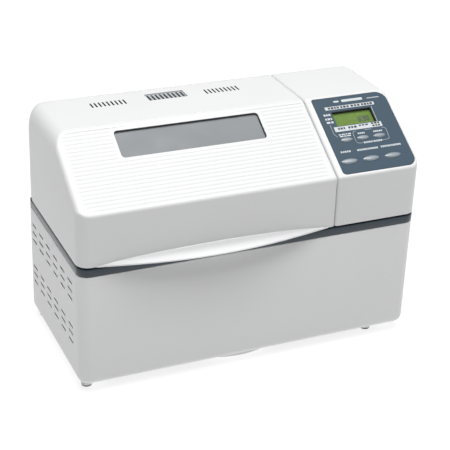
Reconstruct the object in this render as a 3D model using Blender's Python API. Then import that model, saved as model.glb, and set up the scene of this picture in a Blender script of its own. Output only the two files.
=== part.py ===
"""Bread machine: a wide two-paddle loaf machine with a hinged lid and a fixed control housing.

Frame: origin under the middle of the bounding box, on the plane the feet stand on. +X runs to the
control end, the front faces -Y and +Z is up. Sizes are in millimetres and are scaled to metres
when a mesh is made.
"""

import math

import bmesh
import bpy
from mathutils import Vector

MM = 0.001
GAP = 0.3

# Outside of the body
LEFT = -215.0
RIGHT = 215.0
FRONT = -97.6
REAR = 110.6
HEIGHT = 288.5
MID_Y = (FRONT + REAR) / 2
BASE_BOTTOM = 8.5
BASE_TOP = 152.4
DECK_TOP = 163.5
LID_BOTTOM = 164.2
WALL = 2.5
CORNER_R = 14.0
SLOPE_TOP_Y = FRONT + 100.2
SLOPE_LOW_Z = 226.9
SLOPE_ANGLE = math.atan2(HEIGHT - SLOPE_LOW_Z, SLOPE_TOP_Y - FRONT)
SLOPE_LENGTH = math.hypot(HEIGHT - SLOPE_LOW_Z, SLOPE_TOP_Y - FRONT)
LID_RIGHT = 101.5
CONTROL_LEFT = 102.7

# Edge rounding where each shell meets its end wall: front, slope, top and rear faces
LID_END_R = (15.0, 6.0, 20.0, 20.0)
CONTROL_END_R = (14.0, 4.4, 8.0, 14.0)
END_STEPS = (0.0, 0.35, 1.3, 3.0, 5.5, 9.0, 13.5, 20.0)

# The shadow groove between the band and the lid
BAND_STEP = 1.9
BAND_GROOVE = 5.0

# Lid hinge
HINGE_Y = 104.6
HINGE_Z = 170.2
HINGE_ROUND = 6.0
HINGE_PIN_R = 2.0
HINGE_X = (-150.0, 40.0)
KNUCKLE_WIDTH = 22.0

# Lid window and vents
WINDOW_X = (-143.3, 37.1)
WINDOW_S = (9.2, 47.3)
WINDOW_R = 4.5
VENT_Y = (57.8, 72.2)
VENT_WIDTH = 2.5
VENT_PITCH = 5.15
VENT_COUNT = 9
VENT_GROUPS = (-125.1, 21.0)
GRILLE_X = -50.4
GRILLE_Y = 68.8
GRILLE_SIZE = (49.6, 21.0)
GRILLE_PITCH = 5.36

# Lid grip: a crescent along the lower front edge
GRIP_X = -50.6
GRIP_HALF = 146.0
GRIP_OUT = 12.7
GRIP_DROP = 3.9
GRIP_RISE = 7.4

# Control panel, in x and in distance down the slope
PANEL_X = (111.4, 211.4)
PANEL_S = (2.1, 113.7)
LCD_X = (130.4, 184.4)
LCD_S = (23.5, 45.3)
SMALL_BUTTON = (8.3, 3.3)
LARGE_BUTTON = (11.1, 3.8)
BUTTONS = (
    ("button_small_left", 134.3, 65.9, SMALL_BUTTON),
    ("button_small_middle", 156.5, 66.0, SMALL_BUTTON),
    ("button_small_right", 178.8, 66.1, SMALL_BUTTON),
    ("button_large_left", 125.7, 96.4, LARGE_BUTTON),
    ("button_large_middle", 154.9, 96.5, LARGE_BUTTON),
    ("button_large_right", 184.2, 96.6, LARGE_BUTTON),
)
BUTTON_TOP = 1.5
BUTTON_FOOT = -5.2

# Side vents of the base: two blocks of short slots, columns along the depth
SIDE_VENT_COLUMNS = 6
SIDE_VENT_FIRST_Y = 83.6
SIDE_VENT_PITCH_Y = 28.95
SIDE_VENT_LENGTH = 17.0
SIDE_VENT_HEIGHT = 3.0
SIDE_VENT_ROWS = (131.8, 121.0, 110.5, 74.0, 64.3, 53.4)

# Oven and pan, centred under the window
OVEN_X = -57.0
OVEN_HALF = (130.0, 80.0)
OVEN_R = 30.0
OVEN_FLOOR = 42.0
PAN_BOTTOM = 56.0
PAN_TOP = 164.6
PAN_TOP_HALF = (115.0, 62.0)
PAN_LOW_HALF = (108.0, 55.0)
PAN_R = 22.0
PAN_WALL = 1.5
BAIL_Z = 155.6
BAIL_ARM = 70.0
BAIL_HALF = 123.0
BAIL_R = 2.0
SHAFT_X = (OVEN_X - 53.0, OVEN_X + 53.0)
SHAFT_R = 4.0

# Shallow dish under the base plate
DISH_X = -15.0
DISH_R = 94.0

# Drive
MOTOR_X = 160.0
PULLEY_R = 28.0
MOTOR_PULLEY_R = 8.4
BELT_Z = (20.5, 24.5)
BELT_THICKNESS = 2.0

FEET = (
    ("foot_front_left", -202.5, FRONT + 19.0),
    ("foot_front_right", 168.6, FRONT + 19.0),
    ("foot_rear_left", -202.5, REAR - 19.0),
    ("foot_rear_right", 168.6, REAR - 19.0),
)

WHITE = (0.9, 0.91, 0.92)
SLATE = (0.08, 0.13, 0.18)
DARK = (0.03, 0.03, 0.035)
STEEL = (0.62, 0.63, 0.64)
GLASS = (0.35, 0.39, 0.4)
RUBBER = (0.05, 0.05, 0.05)
SILVER = (0.72, 0.74, 0.76)
BOARD = (0.05, 0.25, 0.12)


def clear_scene():
    for obj in list(bpy.data.objects):
        bpy.data.objects.remove(obj, do_unlink=True)


def add_material(obj, colour, metallic, roughness):
    material = bpy.data.materials.new(obj.name)
    material.use_nodes = True
    shader = material.node_tree.nodes["Principled BSDF"]
    shader.inputs["Base Color"].default_value = (*colour, 1.0)
    shader.inputs["Metallic"].default_value = metallic
    shader.inputs["Roughness"].default_value = roughness
    obj.data.materials.append(material)


def finish(name, bm, colour=WHITE, metallic=0.0, roughness=0.45, smooth=False):
    """Turn a mesh under construction into a named object."""
    bmesh.ops.recalc_face_normals(bm, faces=bm.faces)
    if bm.calc_volume(signed=True) < 0:
        bmesh.ops.reverse_faces(bm, faces=bm.faces)
    bmesh.ops.scale(bm, vec=Vector((MM, MM, MM)), verts=bm.verts)
    for face in bm.faces:
        face.smooth = smooth
    mesh = bpy.data.meshes.new(name)
    bm.to_mesh(mesh)
    bm.free()
    obj = bpy.data.objects.new(name, mesh)
    bpy.context.collection.objects.link(obj)
    add_material(obj, colour, metallic, roughness)
    return obj


def add_loops(bm, loops, ring):
    """Skin a row of equal loops. A ring joins the last loop to the first, else both ends are capped."""
    rows = [[bm.verts.new(point) for point in loop] for loop in loops]
    count = len(rows[0])
    pairs = list(zip(rows, rows[1:]))
    if ring:
        pairs.append((rows[-1], rows[0]))
    else:
        bm.faces.new(rows[0])
        bm.faces.new(rows[-1])
    for low, high in pairs:
        for i in range(count):
            j = (i + 1) % count
            bm.faces.new((low[i], low[j], high[j], high[i]))


def skin(name, loops, ring=False, **look):
    bm = bmesh.new()
    add_loops(bm, loops, ring)
    return finish(name, bm, **look)


def box(name, low, high, **look):
    bm = bmesh.new()
    add_box(bm, low, high)
    return finish(name, bm, **look)


def add_box(bm, low, high):
    corners = [(low[0], low[1]), (high[0], low[1]), (high[0], high[1]), (low[0], high[1])]
    add_loops(bm, [[(x, y, z) for x, y in corners] for z in (low[2], high[2])], False)


def lathe(name, centre, profile, ring=False, sides=24, **look):
    """Turn (radius, z) pairs about a vertical axis. A ring profile is closed on itself."""
    bm = bmesh.new()
    loops = [circle(centre[0], centre[1], radius, z, sides) for radius, z in profile]
    add_loops(bm, loops, ring)
    return finish(name, bm, smooth=True, **look)


def circle(x, y, radius, z, sides):
    turn = 2 * math.pi / sides
    return [(x + radius * math.cos(turn * i), y + radius * math.sin(turn * i), z) for i in range(sides)]


def across(loop):
    """Lay a loop drawn about +Z so that its axis runs along +X instead."""
    return [(z, x, y) for x, y, z in loop]


def rounded_rect(x, y, half_x, half_y, radius, z, steps=5):
    points = []
    for corner, (sx, sy) in enumerate(((1, 1), (-1, 1), (-1, -1), (1, -1))):
        for i in range(steps + 1):
            angle = math.pi / 2 * (corner + i / steps)
            points.append((x + sx * (half_x - radius) + radius * math.cos(angle),
                           y + sy * (half_y - radius) + radius * math.sin(angle), z))
    return points


def slope_rect(x_range, s_range, radius, depth, steps=4):
    """A rounded rectangle on the slope, in slope coordinates: x, minus distance down, height."""
    return rounded_rect(sum(x_range) / 2, -sum(s_range) / 2, (x_range[1] - x_range[0]) / 2,
                        (s_range[1] - s_range[0]) / 2, radius, depth, steps)


def on_slope(obj):
    """Place an object drawn in slope coordinates."""
    obj.location = (0.0, SLOPE_TOP_Y * MM, HEIGHT * MM)
    obj.rotation_euler = (SLOPE_ANGLE, 0.0, 0.0)
    return obj


def slope_point(x, s, h=0.0):
    """World millimetres of a point on the slope: s down it, h above it."""
    y = SLOPE_TOP_Y - s * math.cos(SLOPE_ANGLE) - h * math.sin(SLOPE_ANGLE)
    z = HEIGHT - s * math.sin(SLOPE_ANGLE) + h * math.cos(SLOPE_ANGLE)
    return (x, y, z)


def grown(span, amount):
    return (span[0] - amount, span[1] + amount)


def cutter(obj):
    obj.hide_render = True
    obj.display_type = "WIRE"
    return obj


def cut(obj, tool, operation="DIFFERENCE"):
    modifier = obj.modifiers.new(tool.name, "BOOLEAN")
    modifier.operation = operation
    modifier.solver = "EXACT"
    modifier.object = tool


def meet(first, second):
    """Where two lines cross, each given as a point and a direction."""
    (px, py), (dx, dy) = first
    (qx, qy), (ex, ey) = second
    t = ((qx - px) * ey - (qy - py) * ex) / (dx * ey - dy * ex)
    return (px + t * dx, py + t * dy)


def shell_outline(insets, bottom, radii, steps=4):
    """Side view of the upper shells as (y, z), moved in from the front, slope, top and rear faces."""
    front, slope, top, rear = insets
    down = (-math.cos(SLOPE_ANGLE), -math.sin(SLOPE_ANGLE))
    normal = (-math.sin(SLOPE_ANGLE), math.cos(SLOPE_ANGLE))
    lines = [
        ((0.0, bottom), (1.0, 0.0)),
        ((FRONT + front, 0.0), (0.0, 1.0)),
        ((SLOPE_TOP_Y - slope * normal[0], HEIGHT - slope * normal[1]), down),
        ((0.0, HEIGHT - top), (1.0, 0.0)),
        ((REAR - rear, 0.0), (0.0, 1.0)),
    ]
    corners = [meet(lines[i], lines[(i + 1) % 5]) for i in range(5)]
    return fillet(corners, radii, steps)


def fillet(corners, radii, steps):
    points = []
    count = len(corners)
    for i, radius in enumerate(radii):
        here = Vector(corners[i])
        back = (Vector(corners[i - 1]) - here).normalized()
        ahead = (Vector(corners[(i + 1) % count]) - here).normalized()
        half = back.angle(ahead) / 2
        centre = here + (back + ahead).normalized() * radius / math.sin(half)
        start = here + back * radius / math.tan(half) - centre
        end = here + ahead * radius / math.tan(half) - centre
        turn = start.angle(end)
        for k in range(steps + 1):
            part = k / steps
            arm = (start * math.sin((1 - part) * turn) + end * math.sin(part * turn)) / math.sin(turn)
            points.append(tuple(centre + arm))
    return points


def end_inset(radius, distance):
    if distance >= radius:
        return 0.0
    return radius - math.sqrt(radius * radius - (radius - distance) ** 2)


def shell_loops(end, inward, other, end_radii, thickness, bottom, radii):
    """Loops of an upper shell from its rounded end wall to its straight one."""
    loops = []
    for distance in END_STEPS:
        insets = [thickness + end_inset(max(r - thickness, 0.5), distance) for r in end_radii]
        outline = shell_outline(insets, bottom, radii)
        loops.append([(end + inward * (thickness + distance), y, z) for y, z in outline])
    last = shell_outline([thickness] * 4, bottom, radii)
    loops.append([(other, y, z) for y, z in last])
    return loops


def tube(name, path, radius, closed=False, sides=10, **look):
    """A round bar along a flat path in a level plane."""
    loops = []
    count = len(path)
    for i, point in enumerate(path):
        before = path[i - 1] if closed or i else point
        after = path[(i + 1) % count] if closed or i < count - 1 else point
        along = (Vector(after) - Vector(before)).normalized()
        side = along.cross(Vector((0, 0, 1)))
        loop = []
        for k in range(sides):
            angle = 2 * math.pi * k / sides
            offset = side * math.cos(angle) * radius + Vector((0, 0, 1)) * math.sin(angle) * radius
            loop.append(Vector(point) + offset)
        loops.append(loop)
    return skin(name, loops, ring=closed, smooth=True, **look)


def base_housing():
    half = ((RIGHT - LEFT) / 2, (REAR - FRONT) / 2)

    def loop(inset, z):
        radius = max(CORNER_R - inset, 3.0)
        return rounded_rect(0, MID_Y, half[0] - inset, half[1] - inset, radius, z)

    floor_top = BASE_BOTTOM + 3.3
    loops = [loop(10, BASE_BOTTOM), loop(5, 9.5), loop(1.6, 12.9), loop(0, 18.2), loop(0, BASE_TOP),
             loop(WALL, BASE_TOP), loop(WALL, 18.2), loop(4.5, floor_top), loop(30, floor_top),
             loop(30, BASE_BOTTOM)]
    housing = skin("base_housing", loops, ring=True, colour=WHITE)
    bm = bmesh.new()
    for column in range(SIDE_VENT_COLUMNS):
        y = SIDE_VENT_FIRST_Y - column * SIDE_VENT_PITCH_Y
        for z in SIDE_VENT_ROWS:
            low = (LEFT - 5, y - SIDE_VENT_LENGTH / 2, z - SIDE_VENT_HEIGHT / 2)
            add_box(bm, low, (LEFT + 6, y + SIDE_VENT_LENGTH / 2, z + SIDE_VENT_HEIGHT / 2))
    cut(housing, cutter(finish("cut_side_vents", bm)))
    hole = [[(x, y, z) for x, z, y in circle(170, 38, 9.3, y, 24)] for y in (REAR - 8, REAR + 4)]
    cut(housing, cutter(skin("cut_cord_hole", hole)))


def bottom_plate():
    half = ((RIGHT - LEFT) / 2 - 30 - GAP, (REAR - FRONT) / 2 - 30 - GAP)
    loops = [rounded_rect(0, MID_Y, *half, 3, z) for z in (BASE_BOTTOM, BASE_BOTTOM + 2.5)]
    plate = skin("bottom_plate", loops, colour=WHITE)
    under = BASE_BOTTOM - GAP
    inner = half[1] - 1
    dish = [(DISH_R - 12, 2.4), (DISH_R - 5, 3.0), (DISH_R, 5.6), (DISH_R, under), (inner, under), (inner, 9.6)]
    cut(plate, cutter(skin("join_dish", [circle(DISH_X, MID_Y, r, z, 48) for r, z in dish])), "UNION")
    hollow = [circle(DISH_X, MID_Y, r, z, 48) for r, z in ((inner - 8, 5.2), (inner - 4, 7.5), (inner - 4, 14))]
    cut(plate, cutter(skin("cut_dish", hollow)))


def feet():
    for name, x, y in FEET:
        profile = [(5.4, 0), (6.4, 1), (6.6, 2.2), (6.2, 2.6), (6.2, BASE_BOTTOM - GAP)]
        lathe(name, (x, y), profile, colour=RUBBER, roughness=0.8)


def trim_band():
    half = ((RIGHT - LEFT) / 2, (REAR - FRONT) / 2)
    low = BASE_TOP + GAP
    under = DECK_TOP - WALL
    step = DECK_TOP - BAND_STEP

    def outer(inset, z):
        return rounded_rect(0, MID_Y, half[0] - inset, half[1] - inset, CORNER_R - inset, z)

    def opening(grow, z):
        return rounded_rect(OVEN_X, MID_Y, OVEN_HALF[0] + grow, OVEN_HALF[1] + grow, OVEN_R, z)

    loops = [outer(0, low), outer(0, step), outer(BAND_GROOVE, step), outer(BAND_GROOVE, DECK_TOP),
             opening(1.5, DECK_TOP), opening(1.5, under), opening(10, under), outer(BAND_GROOVE + 3, step - 1.5),
             outer(WALL, step - 1.5), outer(WALL, low)]
    skin("trim_band", loops, ring=True, colour=SLATE)


def lid_shell():
    radii = (0.5, 5.0, 16.0, 20.0, HINGE_ROUND)
    outer = shell_loops(LEFT, 1, LID_RIGHT, LID_END_R, 0.0, LID_BOTTOM, radii)
    lid = skin("lid_shell", outer, colour=WHITE)
    inner_radii = (0.5, 3.5, 14.0, 17.5, 1.0)
    inner = shell_loops(LEFT, 1, LID_RIGHT - WALL, LID_END_R, WALL, LID_BOTTOM - 4, inner_radii)
    cut(lid, cutter(skin("cut_lid_inside", inner)))
    window = [slope_rect(WINDOW_X, WINDOW_S, WINDOW_R, h) for h in (-6, 4)]
    cut(lid, cutter(on_slope(skin("cut_window", window))))
    bm = bmesh.new()
    for centre in VENT_GROUPS:
        add_vents(bm, centre, VENT_PITCH, VENT_Y, (HEIGHT - 6, HEIGHT + 4))
    low = (GRILLE_X - GRILLE_SIZE[0] / 2, GRILLE_Y - GRILLE_SIZE[1] / 2, HEIGHT - 6)
    add_box(bm, low, (low[0] + GRILLE_SIZE[0], low[1] + GRILLE_SIZE[1], HEIGHT + 4))
    cut(lid, cutter(finish("cut_lid_vents", bm)))
    bm = bmesh.new()
    for x in HINGE_X:
        half = KNUCKLE_WIDTH / 2 + 0.5
        add_box(bm, (x - half, HINGE_Y - 3, LID_BOTTOM - 5), (x + half, REAR + 5, HINGE_Z + 7))
    cut(lid, cutter(finish("cut_hinge_notches", bm)))


def add_vents(bm, centre, pitch, y_range, z_range):
    for i in range(VENT_COUNT):
        x = centre + (i - (VENT_COUNT - 1) / 2) * pitch
        low = (x - VENT_WIDTH / 2, y_range[0], z_range[0])
        add_box(bm, low, (x + VENT_WIDTH / 2, y_range[1], z_range[1]))


def vent_grille():
    half = (GRILLE_SIZE[0] / 2 - GAP, GRILLE_SIZE[1] / 2 - GAP)
    top = HEIGHT - 1.2
    low = (GRILLE_X - half[0], GRILLE_Y - half[1], top - 2)
    grille = box("vent_grille", low, (GRILLE_X + half[0], GRILLE_Y + half[1], top), colour=GLASS)
    bm = bmesh.new()
    span = (GRILLE_Y - 9.3, GRILLE_Y + 9.3)
    add_vents(bm, GRILLE_X, GRILLE_PITCH, span, (top - 4, top + 2))
    cut(grille, cutter(finish("cut_grille", bm)))


def lid_grip():
    loops = []
    for i in range(25):
        u = -0.97 + 1.94 * i / 24
        w = 1 - u * u
        tip_y = FRONT - GAP - GRIP_OUT * w
        tip_z = LID_BOTTOM - GRIP_DROP * w ** 1.5
        top_z = LID_BOTTOM + 0.6 + GRIP_RISE * w ** 0.8
        x = GRIP_X + u * GRIP_HALF
        loops.append([(x, FRONT - GAP, top_z), (x, tip_y, tip_z + 1.6), (x, tip_y, tip_z),
                      (x, FRONT - GAP, LID_BOTTOM + 0.2)])
    skin("lid_grip", loops, colour=WHITE)


def windows():
    outer = [slope_rect(grown(WINDOW_X, 3), grown(WINDOW_S, 3), 4, h) for h in (-5.4, -2.8)]
    on_slope(skin("window_pane", outer, colour=GLASS, roughness=0.1))
    inner = [slope_rect(grown(WINDOW_X, 1), grown(WINDOW_S, 1), 4, h) for h in (-10.6, -7.6)]
    on_slope(skin("inner_pane", inner, colour=GLASS, roughness=0.1))


def lid_liner():
    depth = 11.0
    sheet = 1.2
    bottom = DECK_TOP + 3.4
    x_range = (LEFT + depth, LID_RIGHT - depth)

    def loops(inset, low):
        outline = shell_outline([inset] * 4, low, (0.5, 8.0, 14.0, 14.0, 0.5))
        xs = (x_range[0] + inset - depth, x_range[1] - inset + depth)
        return [[(x, y, z) for y, z in outline] for x in xs]

    liner = skin("lid_liner", loops(depth, bottom), colour=STEEL, metallic=1.0)
    cut(liner, cutter(skin("cut_liner_inside", loops(depth + sheet, bottom - 4))))
    hole = [slope_rect(grown(WINDOW_X, -4), grown(WINDOW_S, -4), 4, h) for h in (-14, -9)]
    cut(liner, cutter(on_slope(skin("cut_inner_window", hole))))


def lid_gasket():
    low = DECK_TOP + GAP
    high = low + 2.7

    def loop(grow, z):
        return rounded_rect(OVEN_X, MID_Y, OVEN_HALF[0] + grow, OVEN_HALF[1] + grow, OVEN_R + grow, z)

    loops = [loop(6, low + 0.8), loop(8, low), loop(10, low), loop(12, low + 0.8), loop(12, high), loop(6, high)]
    skin("lid_gasket", loops, ring=True, colour=RUBBER, roughness=0.9)


def hinge():
    for side, x in zip(("left", "right"), HINGE_X):
        half = KNUCKLE_WIDTH / 2
        block = [(HINGE_Y - 2.6, DECK_TOP + GAP), (HINGE_Y + 2.6, DECK_TOP + GAP), (HINGE_Y + 5, HINGE_Z),
                 (HINGE_Y + 3.4, HINGE_Z + 3.4), (HINGE_Y, HINGE_Z + 5), (HINGE_Y - 3.4, HINGE_Z + 3.4),
                 (HINGE_Y - 4, HINGE_Z)]
        knuckle = skin(f"hinge_knuckle_{side}", [[(x + dx, y, z) for y, z in block] for dx in (-half, half)],
                       colour=SLATE)
        bore = [across(circle(HINGE_Y, HINGE_Z, HINGE_PIN_R + GAP, x + dx, 20)) for dx in (-half - 1, half + 1)]
        cut(knuckle, cutter(skin(f"cut_knuckle_{side}", bore)))
        pin = [across(circle(HINGE_Y, HINGE_Z, HINGE_PIN_R, x + dx, 20)) for dx in (-half - 5, half + 5)]
        skin(f"hinge_pin_{side}", pin, colour=STEEL, metallic=1.0, smooth=True)
        hinge_leaf(side, x, half)


def hinge_leaf(side, x, half):
    """A strap fixed inside the lid's rear wall, with an ear each side of the knuckle."""
    face = REAR - WALL - GAP
    low = (x - half - 5, face - 2, HINGE_Z + 7.5)
    leaf = box(f"hinge_leaf_{side}", low, (x + half + 5, face, HINGE_Z + 22), colour=STEEL, metallic=1.0)
    ear = [(HINGE_Y - 3.2, HINGE_Z - 2.4), (HINGE_Y, HINGE_Z - 3.6), (HINGE_Y + 2.9, HINGE_Z - 2.4),
           (face, HINGE_Z + 1), (face, HINGE_Z + 9), (face - 2.5, HINGE_Z + 9), (HINGE_Y - 3.6, HINGE_Z + 2)]
    bm = bmesh.new()
    for start in (x - half - 4, x + half + 1):
        add_loops(bm, [[(start + dx, y, z) for y, z in ear] for dx in (0, 3)], False)
    cut(leaf, cutter(finish(f"join_ears_{side}", bm)), "UNION")
    bore = [across(circle(HINGE_Y, HINGE_Z, HINGE_PIN_R + GAP, x + dx, 20)) for dx in (-half - 8, half + 8)]
    cut(leaf, cutter(skin(f"cut_ears_{side}", bore)))


def oval(half, depth, grow=0.0):
    """A button outline with slightly pointed ends."""
    points = []
    for i in range(20):
        angle = 2 * math.pi * i / 20
        rise = abs(math.sin(angle)) ** 1.25 * math.copysign(1, math.sin(angle))
        points.append(((half[0] + grow) * math.cos(angle), (half[1] + grow) * rise, depth))
    return points


def panel_holes(name):
    bm = bmesh.new()
    add_loops(bm, [slope_rect(LCD_X, LCD_S, 0.8, h) for h in (-8, 4)], False)
    for _, x, s, half in BUTTONS:
        loops = [[(x + u, v - s, h) for u, v, h in oval(half, depth, 0.6)] for depth in (-8, 4)]
        add_loops(bm, loops, False)
    return cutter(on_slope(finish(name, bm)))


def control_housing(holes):
    radii = (0.5, 4.5, 12.0, 20.0, 0.5)
    outer = shell_loops(RIGHT, -1, CONTROL_LEFT, CONTROL_END_R, 0.0, LID_BOTTOM, radii)
    housing = skin("control_housing", outer, colour=WHITE)
    inner_radii = (0.5, 3.0, 10.0, 17.5, 0.5)
    inner = shell_loops(RIGHT, -1, CONTROL_LEFT + WALL, CONTROL_END_R, WALL, LID_BOTTOM - 4, inner_radii)
    cut(housing, cutter(skin("cut_control_inside", inner)))
    recess = [slope_rect(PANEL_X, PANEL_S, 8, h) for h in (-1.0, 4)]
    cut(housing, cutter(on_slope(skin("cut_panel_recess", recess))))
    cut(housing, holes)


def control_panel(holes):
    loops = [slope_rect(grown(PANEL_X, -GAP), grown(PANEL_S, -GAP), 7.7, h) for h in (-0.7, 0.2)]
    panel = on_slope(skin("control_panel", loops, colour=SLATE))
    cut(panel, holes)


def display():
    glass = [slope_rect(grown(LCD_X, -GAP), grown(LCD_S, -GAP), 0.6, h) for h in (-3.4, -2.2)]
    on_slope(skin("lcd_glass", glass, colour=(0.3, 0.45, 0.1), roughness=0.15))
    module = [slope_rect(grown(LCD_X, 2), grown(LCD_S, 2), 1, h) for h in (-7.4, -3.8)]
    on_slope(skin("lcd_module", module, colour=(0.3, 0.4, 0.12)))
    board = [slope_rect((114, 207), (15, 108), 2, h) for h in (-9.4, -7.8)]
    on_slope(skin("display_board", board, colour=BOARD))


def buttons():
    for name, x, s, half in BUTTONS:
        loops = [oval(half, BUTTON_FOOT), oval(half, BUTTON_TOP - 0.6), oval(half, BUTTON_TOP, -0.7)]
        button = skin(name, loops, colour=SILVER, roughness=0.3)
        button.location = [value * MM for value in slope_point(x, s)]
        button.rotation_euler = (SLOPE_ANGLE, 0.0, 0.0)


def oven_chamber():
    def loop(grow, z):
        half = (OVEN_HALF[0] + grow, OVEN_HALF[1] + grow)
        return rounded_rect(OVEN_X, MID_Y, *half, OVEN_R + grow, z, 2)

    top = DECK_TOP - WALL - GAP
    sheet = 1.0
    loops = [loop(sheet, OVEN_FLOOR), loop(sheet, top - sheet), loop(8, top - sheet), loop(8, top), loop(0, top),
             loop(0, OVEN_FLOOR + 1.2)]
    chamber = skin("oven_chamber", loops, colour=STEEL, metallic=1.0)
    for side, x in zip(("left", "right"), SHAFT_X):
        bore = [circle(x, MID_Y, 5.4, z, 24) for z in (OVEN_FLOOR - 4, OVEN_FLOOR + 5)]
        cut(chamber, cutter(skin(f"cut_oven_{side}", bore)))
    port = [across(circle(MID_Y, 100, 3.4, x, 16)) for x in (OVEN_X + 125, OVEN_X + 138)]
    cut(chamber, cutter(skin("cut_oven_port", port)))


def heater():
    path = rounded_rect(OVEN_X, MID_Y, 122.0, 71.5, 24.0, 66.0, 6)
    tube("heater", path, 3.2, closed=True, colour=(0.25, 0.25, 0.26), metallic=0.8)


def temperature_sensor():
    probe = [across(circle(MID_Y, 100, r, x, 16)) for r, x in
             ((2.0, OVEN_X + 121), (3.0, OVEN_X + 122), (3.0, OVEN_X + 140), (5.0, OVEN_X + 140.2),
              (5.0, OVEN_X + 150))]
    skin("temperature_sensor", probe, colour=STEEL, metallic=1.0, smooth=True)


def baking_pan():
    def loop(half, grow, z):
        return rounded_rect(OVEN_X, MID_Y, half[0] + grow, half[1] + grow, PAN_R + grow, z)

    low, top = PAN_LOW_HALF, PAN_TOP_HALF
    loops = [loop(low, -4, PAN_BOTTOM), loop(low, 0, PAN_BOTTOM + 4), loop(top, 0, PAN_TOP - 1.5),
             loop(top, 4, PAN_TOP - 1.5), loop(top, 4, PAN_TOP), loop(top, -PAN_WALL, PAN_TOP),
             loop(low, -PAN_WALL, PAN_BOTTOM + 4.6), loop(low, -PAN_WALL - 3.6, PAN_BOTTOM + PAN_WALL)]
    pan = skin("baking_pan", loops, colour=(0.2, 0.2, 0.21), metallic=0.7)
    for side, x in zip(("left", "right"), SHAFT_X):
        bore = [circle(x, MID_Y, 6.6, z, 24) for z in (PAN_BOTTOM - 4, PAN_BOTTOM + 5)]
        cut(pan, cutter(skin(f"cut_pan_{side}", bore)))


def pan_base():
    def loop(grow, z):
        return rounded_rect(OVEN_X, MID_Y, 88 + grow, 36 + grow, 18 + grow, z)

    low = OVEN_FLOOR + 1.2 + GAP
    skin("pan_base", [loop(0, low), loop(0, PAN_BOTTOM - GAP), loop(-2, PAN_BOTTOM - GAP), loop(-2, low)],
         ring=True, colour=STEEL, metallic=1.0)


def pan_ears():
    for side, sign in (("left", -1), ("right", 1)):
        x = OVEN_X + sign * (PAN_TOP_HALF[0] + 1.3)
        outline = rounded_rect(MID_Y, BAIL_Z - 3.5, 8, 10.5, 5, 0)
        loops = [[(x + dx, y, z) for y, z, _ in outline] for dx in (-0.8, 0.8)]
        ear = skin(f"pan_ear_{side}", loops, colour=STEEL, metallic=1.0)
        bore = [across(circle(MID_Y, BAIL_Z, BAIL_R + GAP, x + dx, 20)) for dx in (-4, 4)]
        cut(ear, cutter(skin(f"cut_ear_{side}", bore)))


def pan_handle():
    """The bail, folded to the front of the pan. Its origin is the middle of its pivot line."""
    pin_in = PAN_TOP_HALF[0] + 0.9
    half = [(pin_in, 0.0), (BAIL_HALF - 4, 0.0), (BAIL_HALF - 1.2, -1.2), (BAIL_HALF, -4.0),
            (BAIL_HALF, -BAIL_ARM + 9), (BAIL_HALF - 2.6, -BAIL_ARM + 2.6), (BAIL_HALF - 9, -BAIL_ARM)]
    path = [(-x, y, 0.0) for x, y in half] + [(x, y, 0.0) for x, y in reversed(half)]
    bail = tube("pan_handle", path, BAIL_R, colour=STEEL, metallic=1.0)
    bail.location = (OVEN_X * MM, MID_Y * MM, BAIL_Z * MM)


def drive_train():
    for side, x in zip(("left", "right"), SHAFT_X):
        centre = (x, MID_Y)
        floor = PAN_BOTTOM + PAN_WALL
        lathe(f"shaft_seal_{side}", centre, [(4.2, PAN_BOTTOM - 1.5), (6.3, PAN_BOTTOM - 1.5), (6.3, floor + 0.4),
              (9.0, floor + 0.4), (8.0, floor + 3), (4.2, floor + 3)], ring=True, colour=RUBBER)
        kneading_blade(side, centre, floor + 3.4)
        blade_shaft(side, centre)
        drive_coupling(side, centre)
        lathe(f"bearing_{side}", centre, [(4.25, 29), (8, 29), (11, 32), (11, 41.4), (4.25, 41.4)], ring=True,
              colour=STEEL, metallic=1.0)
        pulley(f"driven_pulley_{side}", centre, PULLEY_R, 3.0)


def kneading_blade(side, centre, low):
    hub = [circle(*centre, r, z, 24) for r, z in ((8.5, low), (8.5, low + 10), (7, low + 15), (5.5, low + 18))]
    blade = skin(f"kneading_blade_{side}", hub, colour=(0.2, 0.2, 0.21), metallic=0.7, smooth=True)
    fin = [[(centre[0] + dx, centre[1] + dy, z) for dx, dy in ((0, -2.4), (36, -1.8), (38, 0), (36, 1.8), (0, 2.4))]
           for z in (low + 0.4, low + 8)]
    fin.append([(centre[0] + dx, centre[1] + dy, low + 20) for dx, dy in
                ((0, -1.6), (20, -1.4), (22, 0), (20, 1.4), (0, 1.6))])
    cut(blade, cutter(skin(f"join_fin_{side}", fin)), "UNION")
    bore = [circle(*centre, SHAFT_R + GAP, z, 24) for z in (low - 3, low + 13)]
    cut(blade, cutter(skin(f"cut_blade_{side}", bore)))


def blade_shaft(side, centre):
    low = OVEN_FLOOR + 7
    rod = [circle(*centre, SHAFT_R, z, 24) for z in (low, PAN_BOTTOM + 16.5)]
    shaft = skin(f"blade_shaft_{side}", rod, colour=STEEL, metallic=1.0, smooth=True)
    x, y = centre
    wing = skin(f"join_wing_{side}", [[(x + dx, y + dy, z) for dx, dy in ((-9, -2), (9, -2), (9, 2), (-9, 2))]
                                      for z in (low - 0.5, low + 2.5)])
    cut(shaft, cutter(wing), "UNION")


def drive_coupling(side, centre):
    floor = OVEN_FLOOR + 1.2
    rod = [circle(*centre, r, z, 24) for r, z in
           ((SHAFT_R, 13.5), (SHAFT_R, floor + 0.6), (11, floor + 0.8), (11, floor + 3.2))]
    coupling = skin(f"drive_coupling_{side}", rod, colour=STEEL, metallic=1.0, smooth=True)
    bm = bmesh.new()
    x, y = centre
    for sign in (-1, 1):
        middle = (x + sign * 7, y + sign * 4.8)
        add_box(bm, (middle[0] - 1.8, middle[1] - 2, floor + 2.4), (middle[0] + 1.8, middle[1] + 2, floor + 9))
    cut(coupling, cutter(finish(f"join_prongs_{side}", bm)), "UNION")


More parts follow.
